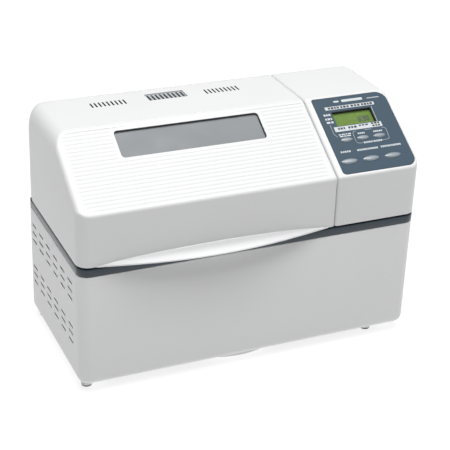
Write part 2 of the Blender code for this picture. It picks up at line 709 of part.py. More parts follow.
def pulley(name, centre, groove, rim):
    low, high = BELT_Z[0] - 0.7, BELT_Z[1] + 0.7
    bore = SHAFT_R + GAP
    lathe(name, centre, [(bore, low - 1.8), (groove + rim, low - 1.8), (groove + rim, low), (groove, low),
          (groove, high), (groove + rim, high), (groove + rim, high + 1.8), (bore, high + 1.8)], ring=True,
          sides=36, colour=DARK)


def belt_outline(grow, z):
    """Round both driven pulleys and the motor pulley, which stand in one row."""
    big = PULLEY_R + grow
    small = MOTOR_PULLEY_R + grow
    lean = math.asin((big - small) / (MOTOR_X - SHAFT_X[1]))
    quarter = math.pi / 2
    arcs = ((SHAFT_X[0], big, quarter, 3 * quarter, 14), (SHAFT_X[1], big, 3 * quarter, 3 * quarter + lean, 2),
            (MOTOR_X, small, lean - quarter, quarter - lean, 10), (SHAFT_X[1], big, quarter - lean, quarter, 2))
    points = []
    for x, radius, start, end, steps in arcs:
        for i in range(steps + 1):
            angle = start + (end - start) * i / steps
            points.append((x + radius * math.cos(angle), MID_Y + radius * math.sin(angle), z))
    return points


def motor_drive():
    inner, outer = 0.6, 0.6 + BELT_THICKNESS
    skin("drive_belt", [belt_outline(outer, BELT_Z[0]), belt_outline(outer, BELT_Z[1]),
                        belt_outline(inner, BELT_Z[1]), belt_outline(inner, BELT_Z[0])], ring=True, colour=RUBBER)
    centre = (MOTOR_X, MID_Y)
    pulley("motor_pulley", centre, MOTOR_PULLEY_R, 3.2)
    lathe("motor_shaft", centre, [(SHAFT_R, 14), (SHAFT_R, 39.4)], colour=STEEL, metallic=1.0)
    lathe("motor", centre, [(12, 40), (12, 44), (33, 44.5), (34, 47), (34, 104), (30, 107), (10, 107), (10, 112)],
          colour=STEEL, metallic=1.0)
    plate = box("chassis_plate", (-150, MID_Y - 44, 33), (199, MID_Y + 44, 35), colour=STEEL, metallic=1.0)
    bm = bmesh.new()
    for x, radius in ((SHAFT_X[0], 11.4), (SHAFT_X[1], 11.4), (MOTOR_X, 8.0)):
        add_loops(bm, [circle(x, MID_Y, radius, z, 24) for z in (30, 38)], False)
    cut(plate, cutter(finish("cut_chassis", bm)))


def electrics():
    box("power_board", (120, REAR - 16, 62), (204, REAR - 14.4, 138), colour=BOARD)
    box("transformer", (138, MID_Y + 38, 62), (186, REAR - 18, 104), colour=(0.3, 0.28, 0.2))
    fuse = [across(circle(MID_Y + 30, 96, r, x, 14)) for r, x in ((3, OVEN_X + 131.4), (3, OVEN_X + 142))]
    skin("thermal_fuse", fuse, colour=WHITE, smooth=True)
    ring = [[(x, y, z) for x, z, y in circle(170, 38, r, y, 24)] for r, y in
            ((9.0, REAR - 6), (9.0, REAR - 0.2), (4.0, REAR - 0.2), (4.0, REAR - 6))]
    skin("cord_gland", ring, ring=True, colour=DARK)


def main():
    clear_scene()
    base_housing()
    bottom_plate()
    feet()
    trim_band()
    lid_shell()
    vent_grille()
    lid_grip()
    windows()
    lid_liner()
    lid_gasket()
    hinge()
    holes = panel_holes("cut_panel_holes")
    control_housing(holes)
    control_panel(holes)
    display()
    buttons()
    oven_chamber()
    heater()
    temperature_sensor()
    baking_pan()
    pan_base()
    pan_ears()
    pan_handle()
    drive_train()
    motor_drive()
    electrics()


main()
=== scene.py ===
"""Bread machine: the visible skin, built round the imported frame.

Lengths are in millimetres here and are scaled to metres when a mesh is made. On the sloping
front, x is across, s is the distance down the slope from its top edge, and h is the height out
of the slope.
"""

import math

import bmesh
import bpy
from mathutils import Matrix, Vector


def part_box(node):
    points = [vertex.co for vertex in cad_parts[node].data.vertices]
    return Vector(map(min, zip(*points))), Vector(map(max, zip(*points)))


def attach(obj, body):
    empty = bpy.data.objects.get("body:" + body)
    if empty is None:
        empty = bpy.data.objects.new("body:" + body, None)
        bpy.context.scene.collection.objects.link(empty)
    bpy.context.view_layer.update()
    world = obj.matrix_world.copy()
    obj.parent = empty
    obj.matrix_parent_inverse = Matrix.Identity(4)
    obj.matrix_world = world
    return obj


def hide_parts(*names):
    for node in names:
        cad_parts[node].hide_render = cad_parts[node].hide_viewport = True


MM = 0.001

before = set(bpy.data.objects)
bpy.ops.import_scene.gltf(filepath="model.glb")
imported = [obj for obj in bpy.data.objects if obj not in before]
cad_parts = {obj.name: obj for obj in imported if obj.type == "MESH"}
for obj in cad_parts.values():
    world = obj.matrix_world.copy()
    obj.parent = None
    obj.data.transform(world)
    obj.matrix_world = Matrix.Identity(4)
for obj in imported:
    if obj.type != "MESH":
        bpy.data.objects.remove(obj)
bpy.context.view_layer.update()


def span(node):
    """A node's lowest and highest corners in millimetres."""
    low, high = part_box(node)
    return low / MM, high / MM


BASE_LOW, BASE_HIGH = span("base_housing")
LID_LOW, LID_HIGH = span("lid_shell")
BAND_LOW, BAND_HIGH = span("trim_band")

LEFT, RIGHT = BASE_LOW.x, BASE_HIGH.x
FRONT, REAR = BASE_LOW.y, BASE_HIGH.y
MID_Y = (FRONT + REAR) / 2
HEIGHT = LID_HIGH.z
BASE_BOTTOM, BASE_TOP = BASE_LOW.z, BASE_HIGH.z
DECK_TOP = BAND_HIGH.z
LID_BOTTOM = LID_LOW.z
LID_RIGHT = LID_HIGH.x
CONTROL_LEFT = span("control_housing")[0].x
WALL = 2.5
CORNER_R = 14.0
CLEAR = 4          # how far a cutting tool reaches past the face it starts from

# The slope, with its unit vectors in (y, z): down it, and out of it
SLOPE_TOP_Y = FRONT + 100.2
SLOPE_LOW_Z = 226.9
SLOPE_ANGLE = math.atan2(HEIGHT - SLOPE_LOW_Z, SLOPE_TOP_Y - FRONT)
DOWN = (-math.cos(SLOPE_ANGLE), -math.sin(SLOPE_ANGLE))
NORMAL = (-math.sin(SLOPE_ANGLE), math.cos(SLOPE_ANGLE))

# Edge rounding in side view: lower front, slope's foot, slope's head, upper rear, lower rear
LID_RADII = (0.8, 5.0, 16.0, 20.0, 6.0)
LID_INNER_RADII = (0.5, 3.5, 14.0, 17.5, 1.0)
CONTROL_RADII = (0.8, 4.5, 12.0, 20.0, 0.8)
CONTROL_INNER_RADII = (0.5, 3.0, 10.0, 17.5, 0.5)
LINING_RADII = (0.5, 8.0, 14.0, 14.0, 0.5)
ROUNDING_STEPS = (3, 8, 10, 12, 8)

# Edge rounding where a shell meets its end wall: front, slope, top and rear faces
LID_END_R = (15.0, 6.0, 20.0, 20.0)
CONTROL_END_R = (14.0, 4.4, 8.0, 14.0)
END_STEPS = (0.0, 0.12, 0.45, 1.0, 1.8, 2.8, 4.0, 5.2, 6.0, 7.4, 8.0, 8.6, 9.2, 10.0, 11.5, 13.5,
             15.0, 17.5, 20.0)

# Edge rounding at the seam between the lid and the control end
SEAM_R = 1.8
CONTROL_SEAM_R = 3.6
INNER_SEAM_R = 0.5

# Grooves across the lid's slope. The right end leans from one x at the head to another at the foot.
GROOVE_FIRST = 5.2
GROOVE_PITCH = 5.32
GROOVE_COUNT = 21
GROOVE_HALF = 1.7
GROOVE_DEPTH = 0.42
GROOVE_LEFT = -205.0
GROOVE_RIGHT = (99.5, 93.0)
GROOVE_RUN = 114
GROOVE_END_S = 112.8
GROOVE_CORNER = 14.0
GROOVE_FADE = 1.6
GROOVE_PROFILE = (-1.0, -0.62, -0.25, 0.25, 0.62, 1.0)
FADE_PROFILE = (-0.1, 0.0, 0.2, 0.4, 0.6, 0.8, 1.0, 1.1)

WINDOW_X = (-143.3, 37.1)
WINDOW_S = (9.2, 47.3)
WINDOW_R = 4.5
WINDOW_MARGIN = 4.2
WINDOW_OVERLAP = 2.8

# Slots in the top, where the shell is thinned to VENT_WALL
VENT_Y = (57.8, 72.2)
VENT_WIDTH = 2.25
VENT_WALL = 1.0
VENT_PITCH = 5.15
VENT_COUNT = 9
VENT_GROUPS = (-125.1, 21.0)

# The recessed insert with the middle group of slots
GRILLE_X = -50.4
GRILLE_Y = 68.8
GRILLE_SIZE = (49.6, 21.0)
GRILLE_PITCH = 5.36
GRILLE_DROP = 1.2
GRILLE_SLOT_HALF = 9.0
GRILLE_SLOT_WIDTH = 2.8

# The shadow groove between the band and the lid
BAND_STEP = 1.3
BAND_GROOVE = 3.4

# The crescent grip
GRIP_X = -50.6
GRIP_HALF = 146.0
GRIP_OUT = 12.7
GRIP_DROP = 3.9
GRIP_RISE = 7.4
GRIP_SECTIONS = 61
GRIP_END = 0.985

PANEL_X = (111.4, 211.4)
PANEL_S = (2.1, 113.7)
PANEL_RADII = (14.0, 3.0, 5.0, 12.0)
LCD_X = (130.4, 184.4)
LCD_S = (23.5, 45.3)
SMALL_BUTTON = (8.3, 3.3)
LARGE_BUTTON = (11.1, 3.8)
BUTTONS = (
    ("button_small_left", 134.3, 65.9, SMALL_BUTTON),
    ("button_small_middle", 156.5, 66.0, SMALL_BUTTON),
    ("button_small_right", 178.8, 66.1, SMALL_BUTTON),
    ("button_large_left", 125.7, 96.4, LARGE_BUTTON),
    ("button_large_middle", 154.9, 96.5, LARGE_BUTTON),
    ("button_large_right", 184.2, 96.6, LARGE_BUTTON),
)
# How far a button's outline grows, and its height, from the hidden foot to the crown
BUTTON_PROFILE = ((0.0, -5.2), (0.0, 0.35), (-0.12, 0.62), (-0.5, 0.92), (-1.05, 1.18),
                  (-1.7, 1.36), (-2.4, 1.47))

SIDE_VENT_COLUMNS = 6
SIDE_VENT_FIRST_Y = 83.6
SIDE_VENT_PITCH_Y = 28.95
SIDE_VENT_LENGTH = 17.0
SIDE_VENT_HEIGHT = 3.0
SIDE_VENT_ROWS = (131.8, 121.0, 110.5, 74.0, 64.3, 53.4)

BASE_LOW_R = 10.0
BASE_LOW_STEPS = 8
DISH_X = -9.0
DISH_R = 95.0
GLAND_HOLE_R = 9.3

OVEN_X = -57.0
OVEN_HALF = (130.0, 80.0)
OVEN_R = 30.0
OVEN_FLOOR = 42.0
PAN_BOTTOM = 56.0
PAN_TOP = 164.6
PAN_TOP_HALF = (115.0, 62.0)
PAN_LOW_HALF = (108.0, 55.0)
PAN_R = 22.0
SHAFT_X = (OVEN_X - 53.0, OVEN_X + 53.0)

CAMERA_ANGLES = (-24.375, 26.807, 2.17)    # azimuth, elevation and roll in degrees
CAMERA_PLACE = (-583.99, -1296.27, 855.66)
CAMERA_LENS = 103.447
FLOOR_REACH = 6000
FLOOR_GLOW = 0.84
FILL_LIGHT = 0.08
LIGHT_FROM = (0.06, -0.02, 1.0)
LIGHT_SPREAD = 50.0
LIGHT_STRENGTH = 3.9
PURE_WHITE = (1.0, 1.0, 1.0, 1.0)


# ---------------------------------------------------------------- materials

def node_material(name):
    material = bpy.data.materials.new(name)
    material.use_nodes = True
    tree = material.node_tree
    return material, tree, tree.nodes["Principled BSDF"]


def noise(tree, scale, detail=2.0, roughness=0.5, stretch=(1, 1, 1)):
    """A noise that is fixed to the object."""
    coords = tree.nodes.new("ShaderNodeTexCoord")
    mapping = tree.nodes.new("ShaderNodeMapping")
    mapping.inputs["Scale"].default_value = stretch
    texture = tree.nodes.new("ShaderNodeTexNoise")
    texture.inputs["Scale"].default_value = scale
    texture.inputs["Detail"].default_value = detail
    texture.inputs["Roughness"].default_value = roughness
    tree.links.new(coords.outputs["Object"], mapping.inputs["Vector"])
    tree.links.new(mapping.outputs["Vector"], texture.inputs["Vector"])
    return texture.outputs["Fac"]


def vary_roughness(tree, shader, source, low, high):
    spread = tree.nodes.new("ShaderNodeMapRange")
    spread.inputs["To Min"].default_value = low
    spread.inputs["To Max"].default_value = high
    tree.links.new(source, spread.inputs["Value"])
    tree.links.new(spread.outputs["Result"], shader.inputs["Roughness"])


def vary_colour(tree, shader, source, dark, light):
    """Mix two colours by the source. Inputs 6 and 7 and output 2 are the mix node's colours."""
    mix = tree.nodes.new("ShaderNodeMix")
    mix.data_type = "RGBA"
    mix.inputs[6].default_value = (*dark, 1.0)
    mix.inputs[7].default_value = (*light, 1.0)
    tree.links.new(source, mix.inputs[0])
    tree.links.new(mix.outputs[2], shader.inputs["Base Color"])


def add_bump(tree, shader, source, strength, distance):
    bump = tree.nodes.new("ShaderNodeBump")
    bump.inputs["Strength"].default_value = strength
    bump.inputs["Distance"].default_value = distance
    tree.links.new(source, bump.inputs["Height"])
    tree.links.new(bump.outputs["Normal"], shader.inputs["Normal"])


def plastic(name, colour, roughness, grain=900.0, bump=0.06, spread=0.015, specular=0.5, coat=0.0):
    """Moulded plastic: a fine spark-eroded grain with slight changes of tone and gloss."""
    material, tree, shader = node_material(name)
    shader.inputs["Specular IOR Level"].default_value = specular
    shader.inputs["Coat Weight"].default_value = coat
    shader.inputs["Coat Roughness"].default_value = 0.15
    broad = noise(tree, 14.0, 3.0)
    dark = tuple(max(0.0, c * (1 - spread)) for c in colour)
    light = tuple(min(1.0, c * (1 + spread)) for c in colour)
    vary_colour(tree, shader, broad, dark, light)
    fine = noise(tree, grain, 3.0, 0.6)
    vary_roughness(tree, shader, fine, roughness * 0.85, roughness * 1.15)
    add_bump(tree, shader, fine, bump, 0.0002)
    return material


def metal(name, colour, roughness, stretch=(1, 1, 1), grain=600.0):
    """Sheet or turned metal. A stretch draws the grain out into brushed lines."""
    material, tree, shader = node_material(name)
    shader.inputs["Metallic"].default_value = 1.0
    lines = noise(tree, grain, 4.0, 0.6, stretch)
    vary_colour(tree, shader, noise(tree, 30.0, 3.0), tuple(c * 0.9 for c in colour), colour)
    vary_roughness(tree, shader, lines, roughness * 0.75, roughness * 1.3)
    add_bump(tree, shader, lines, 0.08, 0.0001)
    return material


def coated(name, colour, roughness=0.42):
    """Dark non-stick coating with pale flecks."""
    material, tree, shader = node_material(name)
    shader.inputs["Metallic"].default_value = 0.25
    flecks = noise(tree, 1400.0, 1.0, 0.4)
    ramp = tree.nodes.new("ShaderNodeValToRGB")
    ramp.color_ramp.elements[0].position = 0.66
    ramp.color_ramp.elements[0].color = (*colour, 1.0)
    ramp.color_ramp.elements[1].position = 0.74
    ramp.color_ramp.elements[1].color = (0.32, 0.32, 0.33, 1.0)
    tree.links.new(flecks, ramp.inputs["Fac"])
    tree.links.new(ramp.outputs["Color"], shader.inputs["Base Color"])
    vary_roughness(tree, shader, noise(tree, 60.0, 3.0), roughness * 0.8, roughness * 1.2)
    add_bump(tree, shader, flecks, 0.1, 0.0002)
    return material


def pane(name, colour, roughness, alpha):
    """A tinted pane. Its alpha says how much of it is seen over what lies behind."""
    material, tree, shader = node_material(name)
    vary_colour(tree, shader, noise(tree, 10.0, 2.0), tuple(c * 0.97 for c in colour), colour)
    vary_roughness(tree, shader, noise(tree, 35.0, 3.0), roughness * 0.8, roughness * 1.3)
    shader.inputs["Alpha"].default_value = alpha
    return material


def make_materials():
    return {
        "white": plastic("white_plastic", (0.757, 0.76, 0.763), 0.40, bump=0.05, specular=0.36),
        # The grip's copy of the white plastic, painted lighter: painted light that brightens the
        # grip's sloping top, which the lamp lights less than the lid's top.
        "lip": plastic("white_plastic_painted_lighter", (0.80, 0.803, 0.807), 0.36, bump=0.05),
        "slate": plastic("slate_plastic", (0.024, 0.040, 0.054), 0.26, bump=0.04, spread=0.05),
        "panel": plastic("slate_overlay", (0.040, 0.074, 0.109), 0.5, grain=1600.0, bump=0.05,
                         spread=0.06, specular=0.25),
        "grey": plastic("grey_plastic", (0.47, 0.49, 0.51), 0.45),
        # Dark grey for the ring that lines the window's recess walls: painted shade, so the walls
        # show as the shaded sides of the recess.
        "seal": plastic("grey_painted_recess_shade", (0.075, 0.08, 0.085), 0.6, grain=700.0, bump=0.1,
                        spread=0.08, specular=0.3),
        "print": plastic("pale_print", (0.60, 0.64, 0.66), 0.6, grain=2000.0, bump=0.03),
        "ink": plastic("dark_ink", (0.03, 0.04, 0.05), 0.6, grain=2000.0, bump=0.03),
        "button": plastic("silver_paint", (0.255, 0.297, 0.333), 0.26, grain=2500.0, bump=0.03,
                          spread=0.03, specular=0.7, coat=0.5),
        "black": plastic("black_plastic", (0.02, 0.02, 0.022), 0.45),
        "rubber": plastic("black_rubber", (0.03, 0.03, 0.03), 0.8, grain=700.0, bump=0.15,
                          spread=0.1, specular=0.3),
        "steel": metal("sheet_steel", (0.62, 0.63, 0.64), 0.38, stretch=(1, 1, 12), grain=300.0),
        "bright": metal("bright_steel", (0.75, 0.76, 0.77), 0.18),
        "heater": metal("heater_sheath", (0.20, 0.20, 0.21), 0.5),
        "coating": coated("dark_coating", (0.045, 0.045, 0.05)),
        "window": pane("window_glass", (0.187, 0.205, 0.218), 0.42, 1.0),
        "lens": pane("display_lens", (0.5, 0.55, 0.5), 0.05, 0.03),
        "lcd": plastic("display_green", (0.128, 0.236, 0.018), 0.5, grain=1200.0, bump=0.02,
                       spread=0.08, specular=0.1),
        "board": plastic("circuit_board", (0.03, 0.2, 0.08), 0.4, grain=400.0, bump=0.1,
                         spread=0.2),
        "winding": plastic("transformer_iron", (0.25, 0.2, 0.12), 0.5, grain=300.0, bump=0.3,
                           spread=0.2),
    }


# ---------------------------------------------------------------- mesh tools

def add_loops(bm, loops, ring=False):
    """Skin a row of equal loops. A ring joins the last loop to the first, else ends are capped."""
    rows = [[bm.verts.new(point) for point in loop] for loop in loops]
    count = len(rows[0])
    pairs = list(zip(rows, rows[1:]))
    if ring:
        pairs.append((rows[-1], rows[0]))
    else:
        bm.faces.new(rows[0])
        bm.faces.new(rows[-1])
    for low, high in pairs:
        for i in range(count):
            j = (i + 1) % count
            bm.faces.new((low[i], low[j], high[j], high[i]))


def add_box(bm, low, high):
    corners = [(low[0], low[1]), (high[0], low[1]), (high[0], high[1]), (low[0], high[1])]
    add_loops(bm, [[(x, y, z) for x, y in corners] for z in (low[2], high[2])])


def to_object(name, bm):
    """Make an object of a mesh drawn in millimetres."""
    bmesh.ops.recalc_face_normals(bm, faces=bm.faces)
    bmesh.ops.scale(bm, vec=Vector((MM, MM, MM)), verts=bm.verts)
    mesh = bpy.data.meshes.new(name)
    bm.to_mesh(mesh)
    bm.free()
    obj = bpy.data.objects.new(name, mesh)
    bpy.context.scene.collection.objects.link(obj)
    return obj


def skin(name, loops, ring=False):
    bm = bmesh.new()
    add_loops(bm, loops, ring)
    return to_object(name, bm)


def boolean(obj, tool, operation="DIFFERENCE"):
    """Cut the tool from the object, or join it, at once, and drop the tool."""
    modifier = obj.modifiers.new("cut", "BOOLEAN")
    modifier.operation = operation
    modifier.solver = "EXACT"
    modifier.object = tool
    bake(obj)
    bpy.data.objects.remove(tool, do_unlink=True)


def bake(obj):
    graph = bpy.context.evaluated_depsgraph_get()
    mesh = bpy.data.meshes.new_from_object(obj.evaluated_get(graph))
    obj.modifiers.clear()
    obj.data = mesh


def dress(obj, material, body, slot, *nodes, sharp=32.0):
    """Give a finished piece its shading, look and body, and hide the nodes it stands for. The slot
    is not used.
    """
    for polygon in obj.data.polygons:
        polygon.use_smooth = True
    obj.data.set_sharp_from_angle(angle=math.radians(sharp))
    obj.data.materials.clear()
    obj.data.materials.append(material)
    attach(obj, body)
    if nodes:
        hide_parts(*nodes)
    return obj


def on_slope(obj):
    """Move an object drawn in slope coordinates on to the slope, in its mesh."""
    place = Matrix.Translation((0.0, SLOPE_TOP_Y * MM, HEIGHT * MM))
    obj.data.transform(place @ Matrix.Rotation(SLOPE_ANGLE, 4, "X"))
    return obj


def rounded_rect(x, y, half_x, half_y, radius, z, steps=8):
    """A rounded rectangle. Four radii run anticlockwise from the corner at high x and y."""
    points = []
    radii = radius if isinstance(radius, tuple) else (radius,) * 4
    for corner, (sx, sy) in enumerate(((1, 1), (-1, 1), (-1, -1), (1, -1))):
        r = radii[corner]
        for i in range(steps + 1):
            angle = math.pi / 2 * (corner + i / steps)
            points.append((x + sx * (half_x - r) + r * math.cos(angle),
                           y + sy * (half_y - r) + r * math.sin(angle), z))
    return points


def slope_rect(x_range, s_range, radius, height, steps=6):
    return rounded_rect(sum(x_range) / 2, -sum(s_range) / 2, (x_range[1] - x_range[0]) / 2,
                        (s_range[1] - s_range[0]) / 2, radius, height, steps)


def slope_tool(x_range, s_range, radius, depth, steps=6):
    """A tool that cuts a rounded rectangle into the slope."""
    loops = [slope_rect(x_range, s_range, radius, h, steps) for h in (-depth, CLEAR)]
    return on_slope(skin("tool", loops))


def body_outline(inset, z):
    """The body's outline in plan, moved in."""
    half = ((RIGHT - LEFT) / 2 - inset, (REAR - FRONT) / 2 - inset)
    return rounded_rect(0, MID_Y, *half, max(CORNER_R - inset, 3.0), z, 10)


def oven_outline(grow, z, radius=None):
    """The oven's outline in plan, grown with its corners unless they are given."""
    half = (OVEN_HALF[0] + grow, OVEN_HALF[1] + grow)
    return rounded_rect(OVEN_X, MID_Y, *half, radius or OVEN_R + grow, z, 10)


def pan_outline(half, grow, z):
    return rounded_rect(OVEN_X, MID_Y, half[0] + grow, half[1] + grow, PAN_R + grow, z, 10)


def grown(pair, amount):
    return (pair[0] - amount, pair[1] + amount)


def circle(x, y, radius, z, sides=48):
    turn = 2 * math.pi / sides
    return [(x + radius * math.cos(turn * i), y + radius * math.sin(turn * i), z)
            for i in range(sides)]


def lathe(name, centre, profile):
    return skin(name, [circle(*centre, r, z) for r, z in profile])


# ---------------------------------------------------------------- upper shells

def meet(first, second):
    """Where two lines cross, each given by a point and a direction."""
    (px, py), (dx, dy) = first
    (qx, qy), (ex, ey) = second
    t = ((qx - px) * ey - (qy - py) * ex) / (dx * ey - dy * ex)
    return (px + t * dx, py + t * dy)


def corner_arc(corners, i, radius, steps):
    """Points on the rounding of one corner of an outline."""
    here = Vector(corners[i])
    back = (Vector(corners[i - 1]) - here).normalized()
    ahead = (Vector(corners[(i + 1) % len(corners)]) - here).normalized()
    half = back.angle(ahead) / 2
    centre = here + (back + ahead).normalized() * radius / math.sin(half)
    start = here + back * radius / math.tan(half) - centre
    end = here + ahead * radius / math.tan(half) - centre
    turn = start.angle(end)
    points = []
    for k in range(steps + 1):
        part = k / steps
        arm = start * math.sin((1 - part) * turn) + end * math.sin(part * turn)
        points.append(centre + arm / math.sin(turn))
    return points


def shell_outline(insets, bottom, radii, x, marks):
    """Side view of an upper shell as (y, z). Marks are distances down the slope with a point."""
    front, slope, top, rear = insets
    lines = [
        ((0.0, bottom), (1.0, 0.0)),
        ((FRONT + front, 0.0), (0.0, 1.0)),
        ((SLOPE_TOP_Y - slope * NORMAL[0], HEIGHT - slope * NORMAL[1]), DOWN),
        ((0.0, HEIGHT - top), (1.0, 0.0)),
        ((REAR - rear, 0.0), (0.0, 1.0)),
    ]
    corners = [meet(lines[i], lines[(i + 1) % 5]) for i in range(5)]
    points = []
    for i, (radius, steps) in enumerate(zip(radii, ROUNDING_STEPS)):
        arc = corner_arc(corners, i, radius, steps)
        if i == 2:
            points += slope_points(points[-1], arc[0], slope, x, marks)
        points += arc
    return [tuple(p) for p in points]


def slope_points(low, high, slope, x, marks):
    """Points up the slope between its two rounded edges, dipped where a groove runs."""
    def down_slope(point):
        return (point.y - (HEIGHT - slope * NORMAL[1])) / DOWN[1]

    s_low, s_high = down_slope(low), down_slope(high)
    found = []
    count = len(marks)
    for k, s in enumerate(reversed(marks)):
        s = min(max(s, s_high + 0.02 * (count - k)), s_low - 0.02 * (k + 1))
        depth = slope + groove_depth(x, s)
        found.append(Vector((SLOPE_TOP_Y - depth * NORMAL[0] + s * DOWN[0],
                             HEIGHT - depth * NORMAL[1] + s * DOWN[1])))
    return found


def smooth_step(value):
    value = min(1.0, max(0.0, value))
    return value * value * (3 - 2 * value)


def groove_depth(x, s):
    """How far the slope dips at a point. Grooves fade out at their ends and round the window."""
    near = round((s - GROOVE_FIRST) / GROOVE_PITCH)
    if not 0 <= near < GROOVE_COUNT:
        return 0.0
    off = abs(s - GROOVE_FIRST - near * GROOVE_PITCH)
    if off >= GROOVE_HALF:
        return 0.0
    left = GROOVE_LEFT
    right = GROOVE_RIGHT[0] + (GROOVE_RIGHT[1] - GROOVE_RIGHT[0]) * s / GROOVE_RUN
    into = s - (GROOVE_END_S - GROOVE_CORNER)
    if into > 0:
        left += GROOVE_CORNER - math.sqrt(max(GROOVE_CORNER * GROOVE_CORNER - into * into, 0.0))
    fade = min(smooth_step((x - left) / GROOVE_FADE), smooth_step((right - x) / GROOVE_FADE))
    out_x = max(WINDOW_X[0] - x, x - WINDOW_X[1])
    out_s = max(WINDOW_S[0] - s, s - WINDOW_S[1])
    if out_x > 0 and out_s > 0:
        away = math.hypot(out_x, out_s)
    else:
        away = max(out_x, out_s)
    fade = min(fade, smooth_step((away - WINDOW_MARGIN) / GROOVE_FADE))
    return GROOVE_DEPTH * fade * 0.5 * (1 + math.cos(math.pi * off / GROOVE_HALF))


def end_inset(radius, distance):
    """How far a rounded edge is moved in at a distance from its end."""
    if distance >= radius:
        return 0.0
    return radius - math.sqrt(radius * radius - (radius - distance) ** 2)


def shell_sections(end, inward, other, end_radii, thickness, seam_r):
    """Positions along x of a shell's sections, with how far each face is moved in there."""
    found = []
    for distance in END_STEPS:
        insets = [thickness + end_inset(max(r - thickness, 0.5), distance) for r in end_radii]
        found.append((end + inward * (thickness + distance), insets))
    for distance in (seam_r, seam_r * 0.5, seam_r * 0.2, seam_r * 0.05, 0.0):
        inset = thickness + end_inset(seam_r, distance)
        found.append((other - inward * distance, [inset] * 4))
    return found


def shell(name, sections, bottom, radii, marks=()):
    """Skin an upper shell through its sections."""
    loops = []
    for x, insets in sections:
        loops.append([(x, y, z) for y, z in shell_outline(insets, bottom, radii, x, marks)])
    return skin(name, loops)


def lid_sections():
    """The lid's sections, closer together where the grooves fade out."""
    sections = shell_sections(LEFT, 1, LID_RIGHT, LID_END_R, 0.0, SEAM_R)
    places = []
    for edge in (WINDOW_X[0] - WINDOW_MARGIN - GROOVE_FADE, WINDOW_X[1] + WINDOW_MARGIN):
        places += [edge + GROOVE_FADE * off for off in FADE_PROFILE]
    places += [GROOVE_RIGHT[1] - GROOVE_FADE + 0.55 * i for i in range(17)]
    places += [-190.0, -170.0, -120.0, -80.0, -40.0, 0.0, 60.0, -193.5, -192.0]
    sections += [(x, [0.0] * 4) for x in places]
    return sorted(sections, key=lambda item: item[0])


def lid_cover(paint):
    marks = [GROOVE_FIRST + k * GROOVE_PITCH + off * GROOVE_HALF
             for k in range(GROOVE_COUNT) for off in GROOVE_PROFILE]
    lid = shell("lid_cover", lid_sections(), LID_BOTTOM, LID_RADII, marks)
    inner = shell_sections(LEFT, 1, LID_RIGHT - WALL, LID_END_R, WALL, INNER_SEAM_R)
    boolean(lid, shell("tool", inner, LID_BOTTOM - CLEAR, LID_INNER_RADII))
    boolean(lid, slope_tool(WINDOW_X, WINDOW_S, WINDOW_R, 6, 8))

    bm = bmesh.new()
    reach = VENT_PITCH * VENT_COUNT / 2 + 2
    for centre in VENT_GROUPS:
        add_box(bm, (centre - reach, VENT_Y[0] - 3, HEIGHT - 6),
                (centre + reach, VENT_Y[1] + 3, HEIGHT - VENT_WALL))
    boolean(lid, to_object("tool", bm))

    bm = bmesh.new()
    through = (HEIGHT - 6, HEIGHT + CLEAR)
    for centre in VENT_GROUPS:
        add_vents(bm, centre, VENT_PITCH, VENT_Y, through, VENT_WIDTH)
    half = (GRILLE_SIZE[0] / 2, GRILLE_SIZE[1] / 2)
    add_loops(bm, [rounded_rect(GRILLE_X, GRILLE_Y, *half, 2.0, z, 5) for z in through])
    boolean(lid, to_object("tool", bm))

    bm = bmesh.new()
    for node in ("hinge_knuckle_left", "hinge_knuckle_right"):
        low, high = span(node)
        add_box(bm, (low.x - 0.5, low.y - 1, LID_BOTTOM - 5),
                (high.x + 0.5, REAR + 5, high.z + 2))
    boolean(lid, to_object("tool", bm))
    dress(lid, paint["white"], "lid", "white_shell", "lid_shell")


def add_vents(bm, centre, pitch, y_range, z_range, width):
    """A row of slots with round ends, running front to back."""
    middle = (y_range[0] + y_range[1]) / 2
    half = (width / 2, (y_range[1] - y_range[0]) / 2)
    for i in range(VENT_COUNT):
        x = centre + (i - (VENT_COUNT - 1) / 2) * pitch
        add_loops(bm, [rounded_rect(x, middle, *half, width / 2 - 0.1, z, 4) for z in z_range])


def lid_fittings(paint):
    half = (GRILLE_SIZE[0] / 2 - 0.25, GRILLE_SIZE[1] / 2 - 0.25)
    top = HEIGHT - GRILLE_DROP
    plate = [rounded_rect(GRILLE_X, GRILLE_Y, half[0] - inset, half[1] - inset, 1.8, z, 5)
             for inset, z in ((0, top - 2), (0, top - 0.4), (0.4, top))]
    grille = skin("lid_vent_insert", plate)
    bm = bmesh.new()
    slots = (GRILLE_Y - GRILLE_SLOT_HALF, GRILLE_Y + GRILLE_SLOT_HALF)
    add_vents(bm, GRILLE_X, GRILLE_PITCH, slots, (top - 4, top + 2), GRILLE_SLOT_WIDTH)
    boolean(grille, to_object("tool", bm))
    dress(grille, paint["grey"], "lid", "grey_vent", "vent_grille")

    loops = []
    for inset, h in ((0, -5.3), (0, -3.1), (0.3, -2.8)):
        out = WINDOW_OVERLAP - inset
        loops.append(slope_rect(grown(WINDOW_X, out), grown(WINDOW_S, out), 4.0, h, 8))
    window = on_slope(skin("lid_window", loops))
    dress(window, paint["window"], "lid", "window_glass", "window_pane")
    # A seal-shaped dark grey ring lines the walls of the window's recess; its dark grey is painted
    # shade on walls the lamps would otherwise light.
    loops = []
    for out, h in ((-0.05, -2.7), (-0.05, -0.9), (-0.2, -0.7), (-0.45, -0.8), (-0.55, -1.0),
                   (-0.55, -2.7)):
        loops.append(slope_rect(grown(WINDOW_X, out), grown(WINDOW_S, out), WINDOW_R + out, h, 8))
    seal = on_slope(skin("window_recess_painted_shade", loops, True))
    dress(seal, paint["seal"], "lid", "black_rubber")
    lid_lip(paint)


